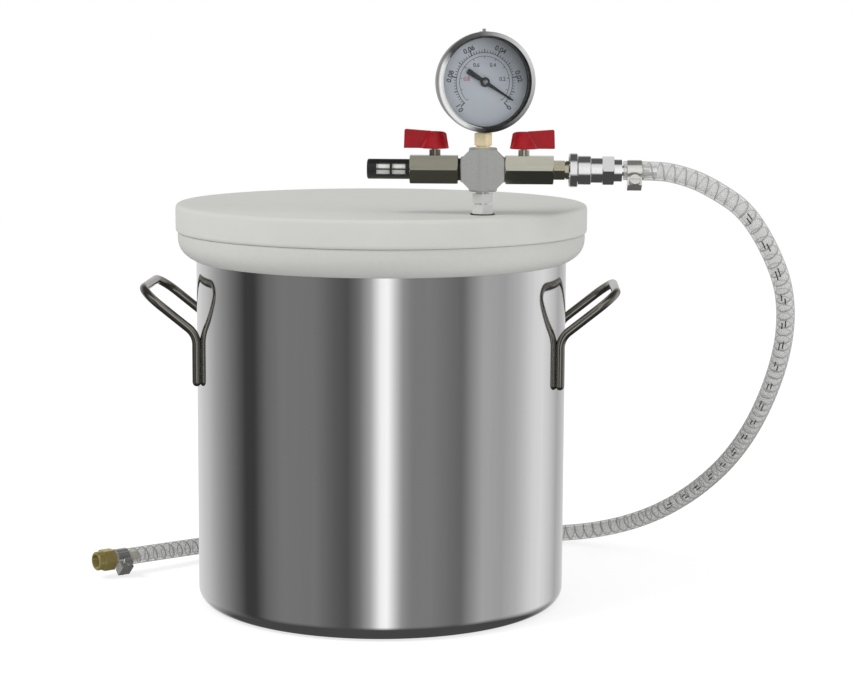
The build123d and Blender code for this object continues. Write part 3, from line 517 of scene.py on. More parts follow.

# Bezel: painted reflection, its colour brightening and darkening by the angle from the right, and
# painted shade, dark on its wall behind the rolled front
BEZEL_REFLECTION_TONES = [
    (-180, 252),
    (-150, 254),
    (-118, 250),
    (-102, 90),
    (-90, 34),
    (-70, 50),
    (-40, 150),
    (0, 205),
    (40, 232),
    (75, 190),
    (100, 100),
    (140, 72),
    (150, 170),
    (160, 250),
]
bezel_look, tree, shader = new_material("gauge_bezel_steel")
angle = combined(tree, "ARCTAN2", reach_along(tree, UP), reach_along(tree, gauge_right))
bezel_reflection_stops = [((degrees + 180) / 360, tone(v, v, v)) for degrees, v in BEZEL_REFLECTION_TONES]
bezel_painted_reflection = ramp(tree, mapped(tree, angle, -math.pi, math.pi), bezel_reflection_stops)
speckle = noisy(tree, 700.0, FINE_DETAIL, level(0.94), level(1.0))
tree.links.new(multiplied(tree, bezel_painted_reflection, speckle), shader.inputs["Base Color"])
# Painted shade: the bezel's wall behind its rolled front is darkened
wall_painted_shade = mapped(tree, reach_along(tree, gauge_out), 0.0082, 0.0094)
tint(bezel_look, wall_painted_shade, [(0.0, level(0.12)), (1.0, level(1.0))])
smudge = noisy(tree, 60.0, SOFT_DETAIL, level(0.18), level(0.26))
tree.links.new(smudge, shader.inputs["Roughness"])
shader.inputs["Metallic"].default_value = 0.25

LOOKS = {
    "pot": steel,
    "handle_left": rod_steel,
    "handle_right": rod_steel,
    "lid": acrylic,
    "lid_gasket": gasket_white,
    "nipple": bright,
    "nipple_seal": rubber,
    "cross": cast,
    "vent_valve_body": nickel_vent_painted_shade,
    "pump_valve_body": nickel_pump,
    "vent_end_seal": rubber,
    "filter_cage": black_plastic,
    "filter_element": felt,
    "coupler_plug": nickel_warm,
    "coupler_body": chrome,
    "coupler_seal": rubber,
    "coupler_balls": tin,
    "coupler_snap_ring": tin,
    "sleeve_spring": tin,
    "coupler_sleeve": chrome,
    "gauge_case": case_steel,
    "gauge_bezel": gauge_steel,
    "gauge_window": glass,
    "gauge_window_ring": rubber,
    "gauge_dial": dial_paint,
    "gauge_tube": brass,
    "gauge_socket": brass,
    "movement_back": brass,
    "movement_front": brass,
    "gauge_fill_plug": plug_grey,
    "gauge_pointer": black_paint,
    "gauge_pinion": brass,
    "gauge_sector": brass,
    "hose": hose_clear,
    "hose_fitting": olive,
}
for valve in ("vent", "pump"):
    LOOKS[valve + "_valve_seats"] = seat_white
    LOOKS[valve + "_valve_retainer"] = nickel
    LOOKS[valve + "_stem_seal"] = rubber
    LOOKS[valve + "_lever"] = red
    LOOKS[valve + "_lever_screw"] = tin
    LOOKS[valve + "_valve_stem"] = tin
    LOOKS[valve + "_valve_ball"] = tin
for clamp in ("pump", "end"):
    for part in ("_clamp_band", "_clamp_housing", "_clamp_screw"):
        LOOKS[clamp + part] = clamp_steel
for node_name, node in nodes.items():
    node.data.materials.clear()
    node.data.materials.append(LOOKS[node_name])

# Worn edges on the hexagons
EDGE_WIDTHS = {
    "vent_valve_body": 0.0004,
    "pump_valve_body": 0.0004,
    "gauge_socket": 0.0003,
    "nipple": 0.0003,
}
for node_name, width in EDGE_WIDTHS.items():
    soft_edge = nodes[node_name].modifiers.new("soft_edge", "BEVEL")
    soft_edge.width = width
    soft_edge.segments = 2
    soft_edge.limit_method = "ANGLE"
    soft_edge.angle_limit = math.radians(28)
    soft_edge.harden_normals = True

# ---------------------------------------------------------------- hose
HOSE_RADIUS = 0.006
HOSE_WALL = 0.0016
HOSE_SIDES = 28
HOSE_SPACING = 0.003
# Corners of the route, from the coupler round behind the pot to the brass fitting
HOSE_ROUTE = [
    (0.158, -0.094, 0.3005),
    (0.176, -0.094, 0.3005),
    (0.190, -0.094, 0.2994),
    (0.2115, -0.0935, 0.2922),
    (0.243, -0.092, 0.2712),
    (0.273, -0.061, 0.206),
    (0.257, 0.030, 0.108),
    (0.215, 0.128, 0.039),
    (0.153, 0.173, 0.0065),
    (0.069, 0.175, 0.006),
    (-0.030, 0.182, 0.006),
    (-0.107, 0.142, 0.006),
    (-0.143, 0.085, 0.0125),
    (-0.1945, 0.0434, 0.0125),
]


def smooth_line(corners):
    """Points along the smooth curve that a row of corners draws."""
    curve = bpy.data.curves.new("hose_route", "CURVE")
    curve.dimensions = "3D"
    curve.resolution_u = 24
    spline = curve.splines.new("NURBS")
    spline.points.add(len(corners) - 1)
    for place, corner in zip(spline.points, corners):
        place.co = (*corner, 1.0)
    spline.order_u = 3
    spline.use_endpoint_u = True
    route = bpy.data.objects.new("hose_route", curve)
    scene.collection.objects.link(route)
    bpy.context.view_layer.update()
    drawn = route.evaluated_get(bpy.context.evaluated_depsgraph_get())
    line = [v.co.copy() for v in bpy.data.meshes.new_from_object(drawn).vertices]
    bpy.data.objects.remove(route)
    return line


def along_line(points, spacing):
    """Points at even spacing along a line."""
    out = [points[0].copy()]
    left = spacing
    for a, b in zip(points, points[1:]):
        run = (b - a).length
        here = 0.0
        while run - here >= left:
            here += left
            out.append(a.lerp(b, here / run))
            left = spacing
        left -= run - here
    return out


hose_line = smooth_line(HOSE_ROUTE)
hose_even = along_line(hose_line, HOSE_SPACING)
hose_even.append(hose_line[-1])
bm = bmesh.new()
outer = tube_into(bm, hose_even, HOSE_RADIUS, HOSE_SIDES, closed_ends=False)
inner = tube_into(bm, hose_even, HOSE_RADIUS - HOSE_WALL, HOSE_SIDES, closed_ends=False)
for end in (0, -1):
    join_rings(bm, outer[end], inner[end])
hose_piece = mesh_piece("hose_tube", bm, hose_clear, "chamber", ("hose",))

# Wire helix in the hose's wall, short of both ends
WIRE_RADIUS = 0.00045
WIRE_SIDES = 6
WIRE_DEPTH = 0.0008
WIRE_PITCH = 0.0072
WIRE_TURN_STEPS = 18
WIRE_END_STEPS = 30
wire_line = along_line(hose_line, WIRE_PITCH / WIRE_TURN_STEPS)
wire_points = []
for index, (_, side, across) in enumerate(frames_along(wire_line)):
    turn = 2 * math.pi * index / WIRE_TURN_STEPS
    outward = side * math.cos(turn) + across * math.sin(turn)
    wire_points.append(wire_line[index] + outward * (HOSE_RADIUS - WIRE_DEPTH))
bm = bmesh.new()
tube_into(bm, wire_points[WIRE_END_STEPS:-WIRE_END_STEPS], WIRE_RADIUS, WIRE_SIDES)
wire = mesh_piece("hose_wire", bm, wire_steel, "chamber", sharp=0)

# Short plain dashes printed in two rows on the side of the hose, counted in steps along it
MARK_SPACING = 0.001
MARK_STARTS = range(84, 440, 21)
MARK_SHIFTS = 5
MARK_SHORTEST, MARK_LENGTHS = 5, 3
MARK_LANE = 0.0011
MARK_HALF_WIDTH = 0.0004
MARK_LIFT = 0.00006
MARK_FACING = Vector((-0.25, -1.0, 0.1))
mark_line = along_line(hose_line, MARK_SPACING)
mark_frames = frames_along(mark_line)
bm = bmesh.new()
for count, start in enumerate(MARK_STARTS):
    for lane, lag in ((-MARK_LANE, 0), (MARK_LANE, 2)):
        first = start + (count * 3 + lag) % MARK_SHIFTS
        last = first + MARK_SHORTEST + count % MARK_LENGTHS
        rows = []
        for index in (first, (first + last) // 2, last):
            tangent = mark_frames[index][0]
            front = (MARK_FACING - tangent * MARK_FACING.dot(tangent)).normalized()
            across = tangent.cross(front)
            row = []
            for side in (-MARK_HALF_WIDTH, MARK_HALF_WIDTH):
                lean = (lane + side) / HOSE_RADIUS
                outward = front * math.cos(lean) + across * math.sin(lean)
                row.append(mark_line[index] + outward * (HOSE_RADIUS + MARK_LIFT))
            rows.append(row)
        strip_into(bm, rows)
marks = mesh_piece("hose_marks", bm, hose_ink, "chamber", sharp=0)

# The hose and its end aren't mirrored in the pot
end_nodes = ("hose_fitting", "end_clamp_band", "end_clamp_housing", "end_clamp_screw")
for shy in (hose_piece, wire, marks, *(nodes[node_name] for node_name in end_nodes)):
    shy.visible_glossy = False

# ---------------------------------------------------------------- pot and handles
ROUND_SIDES = 256
POT_RADIUS = 0.125
POT_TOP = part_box("pot")[1][2]
POT_WALL = 0.001
POT_FLOOR = 0.0016
POT_CORNER = 0.010
POT_CORNER_STEPS = 12
DISH_RADIUS = 0.060
DISH_DEPTH = 0.0006
RIM_RADIUS = 0.131
RIM_THICKNESS = 0.001

pot_profile = [(0.0, DISH_DEPTH), (DISH_RADIUS, DISH_DEPTH), (DISH_RADIUS + DISH_DEPTH, 0.0)]
for step in range(POT_CORNER_STEPS + 1):
    turn = math.pi / 2 * step / POT_CORNER_STEPS
    pot_profile.append(
        (
            POT_RADIUS - POT_CORNER + POT_CORNER * math.sin(turn),
            POT_CORNER - POT_CORNER * math.cos(turn),
        )
    )
pot_profile += [(POT_RADIUS, height) for height in (0.060, 0.120, 0.180)]
pot_profile += [
    (POT_RADIUS, POT_TOP - RIM_THICKNESS - 0.0002),
    (POT_RADIUS + 0.0004, POT_TOP - RIM_THICKNESS),
    (RIM_RADIUS, POT_TOP - RIM_THICKNESS),
    (RIM_RADIUS, POT_TOP),
    (POT_RADIUS - POT_WALL + 0.0002, POT_TOP),
    (POT_RADIUS - POT_WALL, POT_TOP - 0.0006),
    (POT_RADIUS - POT_WALL, 0.120),
    (POT_RADIUS - POT_WALL, POT_CORNER + 0.002),
    (POT_RADIUS - 0.0034, POT_CORNER - 0.0045),
    (POT_RADIUS - POT_CORNER, POT_FLOOR),
    (0.0, POT_FLOOR),
]
lathe(
    "pot_shell", pot_profile, ORIGIN, UP, ROUND_SIDES, steel, "chamber", ("pot",), 30.0,
)

ROD_RADIUS = 0.003
ROD_SIDES = 24
WELD_SINK = 0.0005
HANDLE_HALF_WIDTH = 0.040
HANDLE_TAIL_DROP = 0.064
HANDLE_BENDS = (0.014, 0.016, 0.016, 0.014)


def bent(corners, bends, steps=10):
    """Points along straight runs joined by round bends."""
    corners = [Vector(corner) for corner in corners]
    out = [corners[0]]
    for radius, before, here, after in zip(bends, corners, corners[1:], corners[2:]):
        back = (before - here).normalized()
        onward = (after - here).normalized()
        half = back.angle(onward) / 2
        reach = radius / math.tan(half)
        centre = here + (back + onward).normalized() * (radius / math.sin(half))
        start = (here + back * reach - centre).normalized()
        end = (here + onward * reach - centre).normalized()
        out += [centre + start.slerp(end, step / steps) * radius for step in range(steps + 1)]
    out.append(corners[-1])
    return out


weld_radius = POT_RADIUS + ROD_RADIUS - WELD_SINK
for sign, label in ((-1, "left"), (1, "right")):
    low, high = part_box("handle_" + label)
    tail = sign * math.sqrt(weld_radius**2 - HANDLE_HALF_WIDTH**2)
    reach = sign * (max(high[0], -low[0]) - ROD_RADIUS)
    grip = high[2] - ROD_RADIUS
    tail_high = POT_TOP - HANDLE_TAIL_DROP
    path = bent(
        [
            (tail, -HANDLE_HALF_WIDTH, low[2]),
            (tail, -HANDLE_HALF_WIDTH, tail_high),
            (reach, -HANDLE_HALF_WIDTH, grip),
            (reach, HANDLE_HALF_WIDTH, grip),
            (tail, HANDLE_HALF_WIDTH, tail_high),
            (tail, HANDLE_HALF_WIDTH, low[2]),
        ],
        HANDLE_BENDS,
    )
    bm = bmesh.new()
    tube_into(bm, path, ROD_RADIUS, ROD_SIDES)
    for foot in (path[0], path[-1]):
        place = Matrix.Translation(foot)
        bmesh.ops.create_uvsphere(bm, u_segments=16, v_segments=8, radius=ROD_RADIUS, matrix=place)
    name = "handle_rod_" + label
    mesh_piece(name, bm, rod_steel, "chamber", ("handle_" + label,), 50.0)

# ---------------------------------------------------------------- lid and gasket
(_, _, lid_low), (lid_radius, _, lid_high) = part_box("lid")
LID_EDGE_LOW, LID_EDGE_HIGH = 0.0025, 0.0035
lid_profile = rounded(
    [
        (0.0, lid_low),
        (lid_radius, lid_low, LID_EDGE_LOW),
        (lid_radius, lid_high, LID_EDGE_HIGH),
        (0.0, lid_high),
    ],
    5,
)
lathe(
    "lid_plate", lid_profile, ORIGIN, UP, ROUND_SIDES, acrylic, "chamber", ("lid",), 40.0,
)

GASKET_BORE = 0.1210
GASKET_LIP = 0.0030
# Outer side as (drawn in, down) from the gasket's upper edge: upright, then rolled under
GASKET_SIDE = [
    (0.0005, 0.0),
    (0.0001, 0.0004),
    (0.0, 0.0020),
    (0.0, 0.0045),
    (0.0003, 0.0070),
    (0.0009, 0.0092),
    (0.0019, 0.0113),
    (0.0033, 0.0133),
    (0.0050, 0.0150),
    (0.0070, 0.0165),
    (0.0090, 0.0177),
    (0.0108, 0.0186),
]
GASKET_FOOT_DRAW = 0.0118
SLOT_GAP = 0.0001
SLOT_INNER = POT_RADIUS - 0.0012
SKIRT_BORE = POT_RADIUS + 0.00005
(_, _, gasket_low), (gasket_radius, _, gasket_top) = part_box("lid_gasket")
slot_low = POT_TOP - RIM_THICKNESS - 0.0002
slot_high = POT_TOP + SLOT_GAP
slot_outer = RIM_RADIUS + SLOT_GAP
gasket_profile = [
    (GASKET_BORE, gasket_low + GASKET_LIP),
    (GASKET_BORE, gasket_top - 0.0004),
    (GASKET_BORE + 0.0004, gasket_top),
    *((gasket_radius - drawn, gasket_top - down) for drawn, down in GASKET_SIDE),
    (gasket_radius - GASKET_FOOT_DRAW, gasket_low),
    (SKIRT_BORE, gasket_low + 0.0001),
    (SKIRT_BORE, slot_low),
    (slot_outer, slot_low),
    (slot_outer, slot_high),
    (SLOT_INNER, slot_high),
    (SLOT_INNER, gasket_low + GASKET_LIP),
]
lathe(
    "gasket_ring", gasket_profile, ORIGIN, UP, ROUND_SIDES, gasket_white, "chamber",
    ("lid_gasket",), 50.0, loop=True,
)

# ---------------------------------------------------------------- valve levers
FIN_TIP = 0.0122
FIN_REACH = 0.0196
FIN_HALF = 0.0026
# Side view of the fin as (along, up) from the foot of the hub
FIN_OUTLINE = [
    (-0.0088, 0.0002),
    (FIN_REACH, 0.0002),
    (FIN_REACH - 0.0004, FIN_TIP - 0.0006),
    (FIN_REACH - 0.0010, FIN_TIP),
    (-0.0058, 0.0104),
    (-0.0072, 0.0095),
]
# Hub as (radius, up): wide at its foot and hollowed on its way up
HUB_PROFILE = [
    (0.0, 0.0),
    (0.0088, 0.0),
    (0.0090, 0.0004),
    (0.0086, 0.0016),
    (0.0079, 0.0030),
    (0.0069, 0.0048),
    (0.0060, 0.0066),
    (0.0054, 0.0084),
    (0.0052, 0.0100),
    (0.0049, 0.0107),
    (0.0, 0.0107),
]
HUB_SIDES = 48
# Recess over the lever's screw
RECESS_SIDES = 40
RECESS_RADIUS = 0.0038
RECESS_FLOOR = 0.0083
RECESS_TOP = FIN_TIP + 0.002
RECESS_PROFILE = [
    (0.0, RECESS_FLOOR),
    (RECESS_RADIUS, RECESS_FLOOR),
    (RECESS_RADIUS, RECESS_TOP),
    (0.0, RECESS_TOP),
]
MELT_SIZE = 0.00036
MELT_ROUNDS = 5


def rough_object(name, bm):
    bmesh.ops.recalc_face_normals(bm, faces=bm.faces)
    mesh = bpy.data.meshes.new(name)
    bm.to_mesh(mesh)
    bm.free()
    obj = bpy.data.objects.new(name, mesh)
    scene.collection.objects.link(obj)
    return obj


def melted(bm, cutter):
    """Joins overlapping closed forms into one soft-edged skin, less the cutter."""
    obj = rough_object("rough", bm)
    cut = rough_object("cutter", cutter)
    remesh = obj.modifiers.new("remesh", "REMESH")
    remesh.mode = "VOXEL"
    remesh.voxel_size = MELT_SIZE
    smooth = obj.modifiers.new("smooth", "SMOOTH")
    smooth.factor = 0.5
    smooth.iterations = MELT_ROUNDS
    away = obj.modifiers.new("recess", "BOOLEAN")
    away.operation = "DIFFERENCE"
    away.solver = "EXACT"
    away.object = cut
    bpy.context.view_layer.update()
    drawn = obj.evaluated_get(bpy.context.evaluated_depsgraph_get())
    done = bpy.data.meshes.new_from_object(drawn)
    bpy.data.objects.remove(obj)
    bpy.data.objects.remove(cut)
    out = bmesh.new()
    out.from_mesh(done)
    bpy.data.meshes.remove(done)
    return out


for valve, way in (("vent", -1), ("pump", 1)):
    foot = box_middle(valve + "_valve_stem")
    foot.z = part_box(valve + "_lever")[0][2]
    along = Vector((way, 0, 0))
    half_width = UP.cross(along) * FIN_HALF
    middle = [foot + along * reach + UP * height for reach, height in FIN_OUTLINE]
    bm = bmesh.new()
    plate_into(bm, [p - half_width for p in middle], [p + half_width for p in middle])
    lathe_into(bm, HUB_PROFILE, foot, UP, HUB_SIDES)
    recess = bmesh.new()
    lathe_into(recess, RECESS_PROFILE, foot, UP, RECESS_SIDES)
    grip_piece = mesh_piece(
        valve + "_lever_grip", melted(bm, recess), red, valve + "_handle", (valve + "_lever",),
        70.0,
    )
    grip_piece.visible_glossy = False

# ---------------------------------------------------------------- vent filter
# A black tube with two rows of windows on each side, open towards the valve
CAGE_RADIUS = 0.00635
CAGE_BORE = 0.0052
CAGE_SIDES = 180
CAGE_AXIS = Vector((1, 0, 0))
CAGE_FRONT = Vector((0, -1, 0))
WINDOW_BANDS = ((0.0060, 0.0145), (0.0160, 0.0244))
WINDOW_TURNS = ((6, 42), (-38, -2), (138, 174), (182, 218))
CAGE_STATIONS = (0.0002, 0.0008, *WINDOW_BANDS[0], *WINDOW_BANDS[1], 0.0270)
cage_foot = box_middle("filter_cage")
cage_foot.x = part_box("filter_cage")[0][0]


def cage_open(band, side):
    """True where a patch of the cage lies in a window; the angle runs up from the front."""
    turn = (side + 0.5) * 360 / CAGE_SIDES
    turn = turn - 360 if turn > 270 else turn
    return band in WINDOW_BANDS and any(low < turn < high for low, high in WINDOW_TURNS)


def cage_ring(bm, radius, station):
    centre = cage_foot + CAGE_AXIS * station
    return ring_into(bm, centre, CAGE_FRONT, UP, radius, CAGE_SIDES)


bm = bmesh.new()
tip = [bm.verts.new(cage_foot)]
rim = cage_ring(bm, CAGE_RADIUS - 0.0010, 0.0)
skin = [cage_ring(bm, CAGE_RADIUS - 0.0006, CAGE_STATIONS[0])]
skin += [cage_ring(bm, CAGE_RADIUS, station) for station in CAGE_STATIONS[1:]]
core = [cage_ring(bm, CAGE_BORE, station) for station in CAGE_STATIONS]
join_rings(bm, tip, rim)
join_rings(bm, rim, skin[0])
join_rings(bm, skin[-1], core[-1])
for index, band in enumerate(zip(CAGE_STATIONS, CAGE_STATIONS[1:])):
    for side in range(CAGE_SIDES):
        nxt = (side + 1) % CAGE_SIDES
        outside = (skin[index][side], skin[index][nxt], skin[index + 1][nxt], skin[index + 1][side])
        inside = (core[index][side], core[index][nxt], core[index + 1][nxt], core[index + 1][side])
        if not cage_open(band, side):
            bm.faces.new(outside)
            bm.faces.new(tuple(reversed(inside)))
            continue
        # A window's side walls run along the cage, and its end walls go round it
        if not cage_open(band, (side - 1) % CAGE_SIDES):
            bm.faces.new((outside[0], outside[3], inside[3], inside[0]))
        if not cage_open(band, nxt):
            bm.faces.new((outside[1], inside[1], inside[2], outside[2]))
        bm.faces.new((outside[0], inside[0], inside[1], outside[1]))
        bm.faces.new((outside[3], outside[2], inside[2], inside[3]))
mesh_piece("filter_shell", bm, black_plastic, "chamber", ("filter_cage",), 30.0)

# ---------------------------------------------------------------- gauge dial
DIAL_FACE = 0.00153
ZERO_ANGLE = -45.0
FULL_SWEEP = 270.0
MAJORS = 5
MINORS = 10
OUTER_SCALE = 0.0184
INNER_SCALE = 0.0162
# Marks of the outer scale as (start, end, width), from the scale's circle outwards
MAJOR_TICK = (-0.0004, 0.0028, 0.00075)
HALF_TICK = (0.0, 0.0023, 0.00060)
MINOR_TICK = (0.0, 0.0016, 0.00042)
INNER_TICK = (-0.0014, 0.0, 0.00040)
# Figures as (texts by major division, distance from the centre, size, boldness)
OUTER_FIGURES = (
    {0: "0", 1: "0.02", 2: "0.04", 3: "0.06", 4: "0.08", 5: "0.1"}, 0.0225, 0.0044, 0.00012,
)
INNER_FIGURES = ({1: "0.2", 2: "0.4", 3: "0.6", 4: "0.8"}, 0.0118, 0.0034, 0.00007)
RED_FIGURE = "0.8"


def dial_way(degrees):
    """Direction on the dial, counted from its right side upwards."""
    turn = math.radians(degrees)
    return gauge_right * math.cos(turn) + UP * math.sin(turn)


def dial_point(radius, degrees, lift=DIAL_FACE):
    return gauge_centre + dial_way(degrees) * radius + gauge_out * lift


def dial_bar(bm, circle, tick, degrees):
    """Flat printed stroke along a radius."""
    start, end, width = tick
    across = gauge_out.cross(dial_way(degrees)).normalized() * (width / 2)
    inner_end = dial_point(circle + start, degrees)
    outer_end = dial_point(circle + end, degrees)
    corners = (inner_end - across, outer_end - across, outer_end + across, inner_end + across)
    bm.faces.new([bm.verts.new(corner) for corner in corners])


def dial_arc(bm, radius, width, steps=120):
    """Flat printed line round the whole scale."""
    turns = [ZERO_ANGLE + FULL_SWEEP * step / steps for step in range(steps + 1)]
    edges = (radius - width / 2, radius + width / 2)
    strip_into(bm, [[dial_point(edge, turn) for edge in edges] for turn in turns])


bm = bmesh.new()
dial_arc(bm, OUTER_SCALE, 0.00040)
dial_arc(bm, INNER_SCALE, 0.00034)
for tick in range(MAJORS * MINORS + 1):
    degrees = ZERO_ANGLE + FULL_SWEEP * tick / (MAJORS * MINORS)
    half_way = tick % (MINORS // 2) == 0
    if tick % MINORS == 0:
        dial_bar(bm, OUTER_SCALE, MAJOR_TICK, degrees)
    else:
        dial_bar(bm, OUTER_SCALE, HALF_TICK if half_way else MINOR_TICK, degrees)
    if half_way:
        dial_bar(bm, INNER_SCALE, INNER_TICK, degrees)
mesh_piece("dial_scales", bm, ink, "chamber", sharp=0)


def dial_text(name, words, radius, degrees, size, material, turned, bold):
    """Plain figures printed on the dial."""
    font = bpy.data.curves.new(name, "FONT")
    font.body = words
    font.size = size
    font.offset = bold
    font.align_x = "CENTER"
    font.align_y = "CENTER"
    obj = bpy.data.objects.new(name, font)
    scene.collection.objects.link(obj)
    right, up = dial_way(turned), dial_way(turned + 90)
    place = Matrix((right, up, gauge_out)).transposed().to_4x4()
    place.translation = dial_point(radius, degrees)
    obj.matrix_world = place
    font.materials.append(material)
    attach(obj, "chamber")


# The outer figures lean with the scale, the inner ones stand upright
FIGURE_LEAN = 0.9
for ring, lean_share, (figures, radius, size, bold) in (
    ("outer", FIGURE_LEAN, OUTER_FIGURES),
    ("inner", 0.0, INNER_FIGURES),
):
    for index, figure in figures.items():
        degrees = ZERO_ANGLE + FULL_SWEEP * index / MAJORS
        lean = ((degrees - 90 + 180) % 360 - 180) * lean_share
        shade = ink_red if figure == RED_FIGURE else ink
        dial_text("figure_%s_%d" % (ring, index), figure, radius, degrees, size, shade, lean, bold)

# ---------------------------------------------------------------- gauge pointer
POINTER_ANGLE = -32.0
POINTER_BACK = 0.0026
POINTER_FRONT = 0.0032
HUB_RADIUS = 0.0031
HUB_STEPS = 12
# Half outlines as (along, aside): tapering needle, round hub and broad tail
needle_side = [(0.0217, 0.00040), (0.0100, 0.00085), (0.0029, 0.00125)]
tail_side = [(-0.0029, 0.00125), (-0.0090, 0.00165), (-0.0126, 0.00175), (-0.0135, 0.0010)]
hub_turns = [math.radians(24 + 132 * step / HUB_STEPS) for step in range(1, HUB_STEPS)]
hub_side = [(HUB_RADIUS * math.cos(turn), HUB_RADIUS * math.sin(turn)) for turn in hub_turns]
half_outline = needle_side + hub_side + tail_side
outline = half_outline + [(along, -aside) for along, aside in reversed(half_outline)]
pointer_along = dial_way(POINTER_ANGLE)
pointer_aside = gauge_out.cross(pointer_along).normalized()
flat = [gauge_centre + pointer_along * along + pointer_aside * aside for along, aside in outline]
bm = bmesh.new()
plate_into(
    bm,
    [point + gauge_out * POINTER_FRONT for point in flat],
    [point + gauge_out * POINTER_BACK for point in flat],
)
mesh_piece("gauge_hand", bm, black_paint, "gauge_needle", ("gauge_pointer",), 30.0)

lathe(
    "pointer_screw",
    [(0.0, 0.0045), (0.0012, 0.0044), (0.0016, 0.0040), (0.0016, POINTER_FRONT)],
    gauge_centre, gauge_out, 24, screw_steel, "gauge_needle", (), 50.0,
)

# ---------------------------------------------------------------- gauge bezel and liquid
GAUGE_SIDES = 160
BEZEL_OUTER = 0.0315
BEZEL_INNER = 0.0289
SEAT_RADIUS = 0.0302
BEZEL_BACK = 0.0036
BEZEL_FRONT = 0.0095
BEZEL_LIP = 0.0083
bezel_profile = rounded(
    [
        (SEAT_RADIUS, BEZEL_BACK),
        (BEZEL_OUTER, BEZEL_BACK, 0.0003),
        (BEZEL_OUTER, BEZEL_FRONT, 0.0016),
        (BEZEL_INNER, BEZEL_FRONT, 0.0010),
        (BEZEL_INNER, BEZEL_LIP, 0.0001),
        (SEAT_RADIUS, BEZEL_LIP, 0.0001),
        (SEAT_RADIUS, BEZEL_BACK),
    ],
    6,
)
lathe(
    "gauge_bezel_ring", bezel_profile, gauge_centre, gauge_out, GAUGE_SIDES, bezel_look, "chamber",
    ("gauge_bezel",), 60.0,
)

SEAL_RADIUS = 0.0276
SEAL_BACK, SEAL_FRONT = 0.0053, 0.0061
lathe(
    "window_seal",
    [
        (SEAL_RADIUS, SEAL_BACK),
        (SEAT_RADIUS, SEAL_BACK),
        (SEAT_RADIUS, SEAL_FRONT),
        (SEAL_RADIUS, SEAL_FRONT),
    ],
    gauge_centre, gauge_out, GAUGE_SIDES, rubber, "chamber", ("gauge_window_ring",), 50.0,
    loop=True,
)

# Painted highlight: a near-white strip for the bright edge of the liquid against the glass, on the
# left and below; it thins out downwards
GLINT_STEPS = 60
GLINT_START = 147
GLINT_SWEEP = 118
GLINT_OUTER, GLINT_INNER = 0.0300, 0.0290
GLINT_LIFT = 0.00618
glint_rows = []
for step in range(GLINT_STEPS + 1):
    degrees = GLINT_START + GLINT_SWEEP * step / GLINT_STEPS
    swell = max(0.0, math.sin(math.pi * (0.12 + 0.88 * step / GLINT_STEPS))) ** 0.5
    inner_edge = GLINT_INNER - 0.0003 - 0.0012 * swell
    glint_rows.append([dial_point(r, degrees, GLINT_LIFT) for r in (inner_edge, GLINT_OUTER)])
bm = bmesh.new()
strip_into(bm, glint_rows)
mesh_piece("liquid_edge_painted_glint", bm, glint, "chamber", sharp=0)

# Liquid behind the window, up to a level line
LIQUID_LEVEL = 0.0188
LIQUID_RADIUS = 0.0288
LIQUID_FRONT = 0.0061
LIQUID_THICKNESS = 0.0003
LIQUID_STEPS = 90
level_angle = math.degrees(math.asin(LIQUID_LEVEL / LIQUID_RADIUS))
turns = [
    180 - level_angle + (180 + 2 * level_angle) * step / LIQUID_STEPS
    for step in range(LIQUID_STEPS + 1)
]
bm = bmesh.new()
plate_into(
    bm,
    [dial_point(LIQUID_RADIUS, turn, LIQUID_FRONT) for turn in turns],
    [dial_point(LIQUID_RADIUS, turn, LIQUID_FRONT - LIQUID_THICKNESS) for turn in turns],
)
mesh_piece("gauge_liquid", bm, liquid_look, "chamber", sharp=0)

# ---------------------------------------------------------------- floor
# Plain and pale; it glows a little, so that only the shadow is left on white
FLOOR_HALF = 3.0
FLOOR_DROP = 0.0003
FLOOR_TONE = 0.42
FLOOR_GLOW, FLOOR_GLOW_SEEN = 0.5, 0.72
floor_mesh = bpy.data.meshes.new("floor")
floor_ways = ((-1, -1), (1, -1), (1, 1), (-1, 1))
floor_corners = [(x * FLOOR_HALF, y * FLOOR_HALF, 0) for x, y in floor_ways]
floor_mesh.from_pydata(floor_corners, [], [(0, 1, 2, 3)])
floor = bpy.data.objects.new("floor", floor_mesh)
scene.collection.objects.link(floor)
floor.location.z = -FLOOR_DROP
floor.visible_glossy = False
floor_material = bpy.data.materials.new("floor")
floor_material.use_nodes = True
tree = floor_material.node_tree
tree.nodes.clear()
out = tree.nodes.new("ShaderNodeOutputMaterial")
matte = tree.nodes.new("ShaderNodeBsdfDiffuse")
matte.inputs["Color"].default_value = level(FLOOR_TONE)
glow = tree.nodes.new("ShaderNodeEmission")
_, seen = seen_directly(tree)
tree.links.new(
    mapped(tree, seen, 0.0, 1.0, FLOOR_GLOW, FLOOR_GLOW_SEEN), glow.inputs["Strength"]
)
both = tree.nodes.new("ShaderNodeAddShader")
tree.links.new(matte.outputs[0], both.inputs[0])
tree.links.new(glow.outputs[0], both.inputs[1])
tree.links.new(both.outputs[0], out.inputs["Surface"])
floor_mesh.materials.append(floor_material)

# ---------------------------------------------------------------- studio
# Dark flags and light screens around the object, seen only in gloss.
# Each entry is an angle from the viewer's side, in degrees towards +X, and a brightness.
STUDIO = [
    (-180, 0.75),
    (-150, 0.70),
    (-134, 0.58),
    (-118, 0.36),
    (-102, 0.18),
    (-89, 0.05),
    (-81, 0.05),
    (-71, 0.16),
    (-60, 0.21),
    (-38, 0.20),
    (-25, 0.12),
    (-17, 0.09),
    (-10, 0.18),
    (-3, 0.44),
    (3, 1.05),
    (7, 1.15),
    (12, 0.64),
    (16, 0.33),
    (22, 0.23),
    (34, 0.23),
    (46, 0.18),
    (54, 0.15),
    (62, 0.31),
    (69, 0.44),
    (84, 0.40),
    (96, 0.50),
    (112, 0.76),
    (122, 0.82),
    (134, 0.66),
    (146, 0.45),
    (162, 0.60),
    (180, 0.75),
]
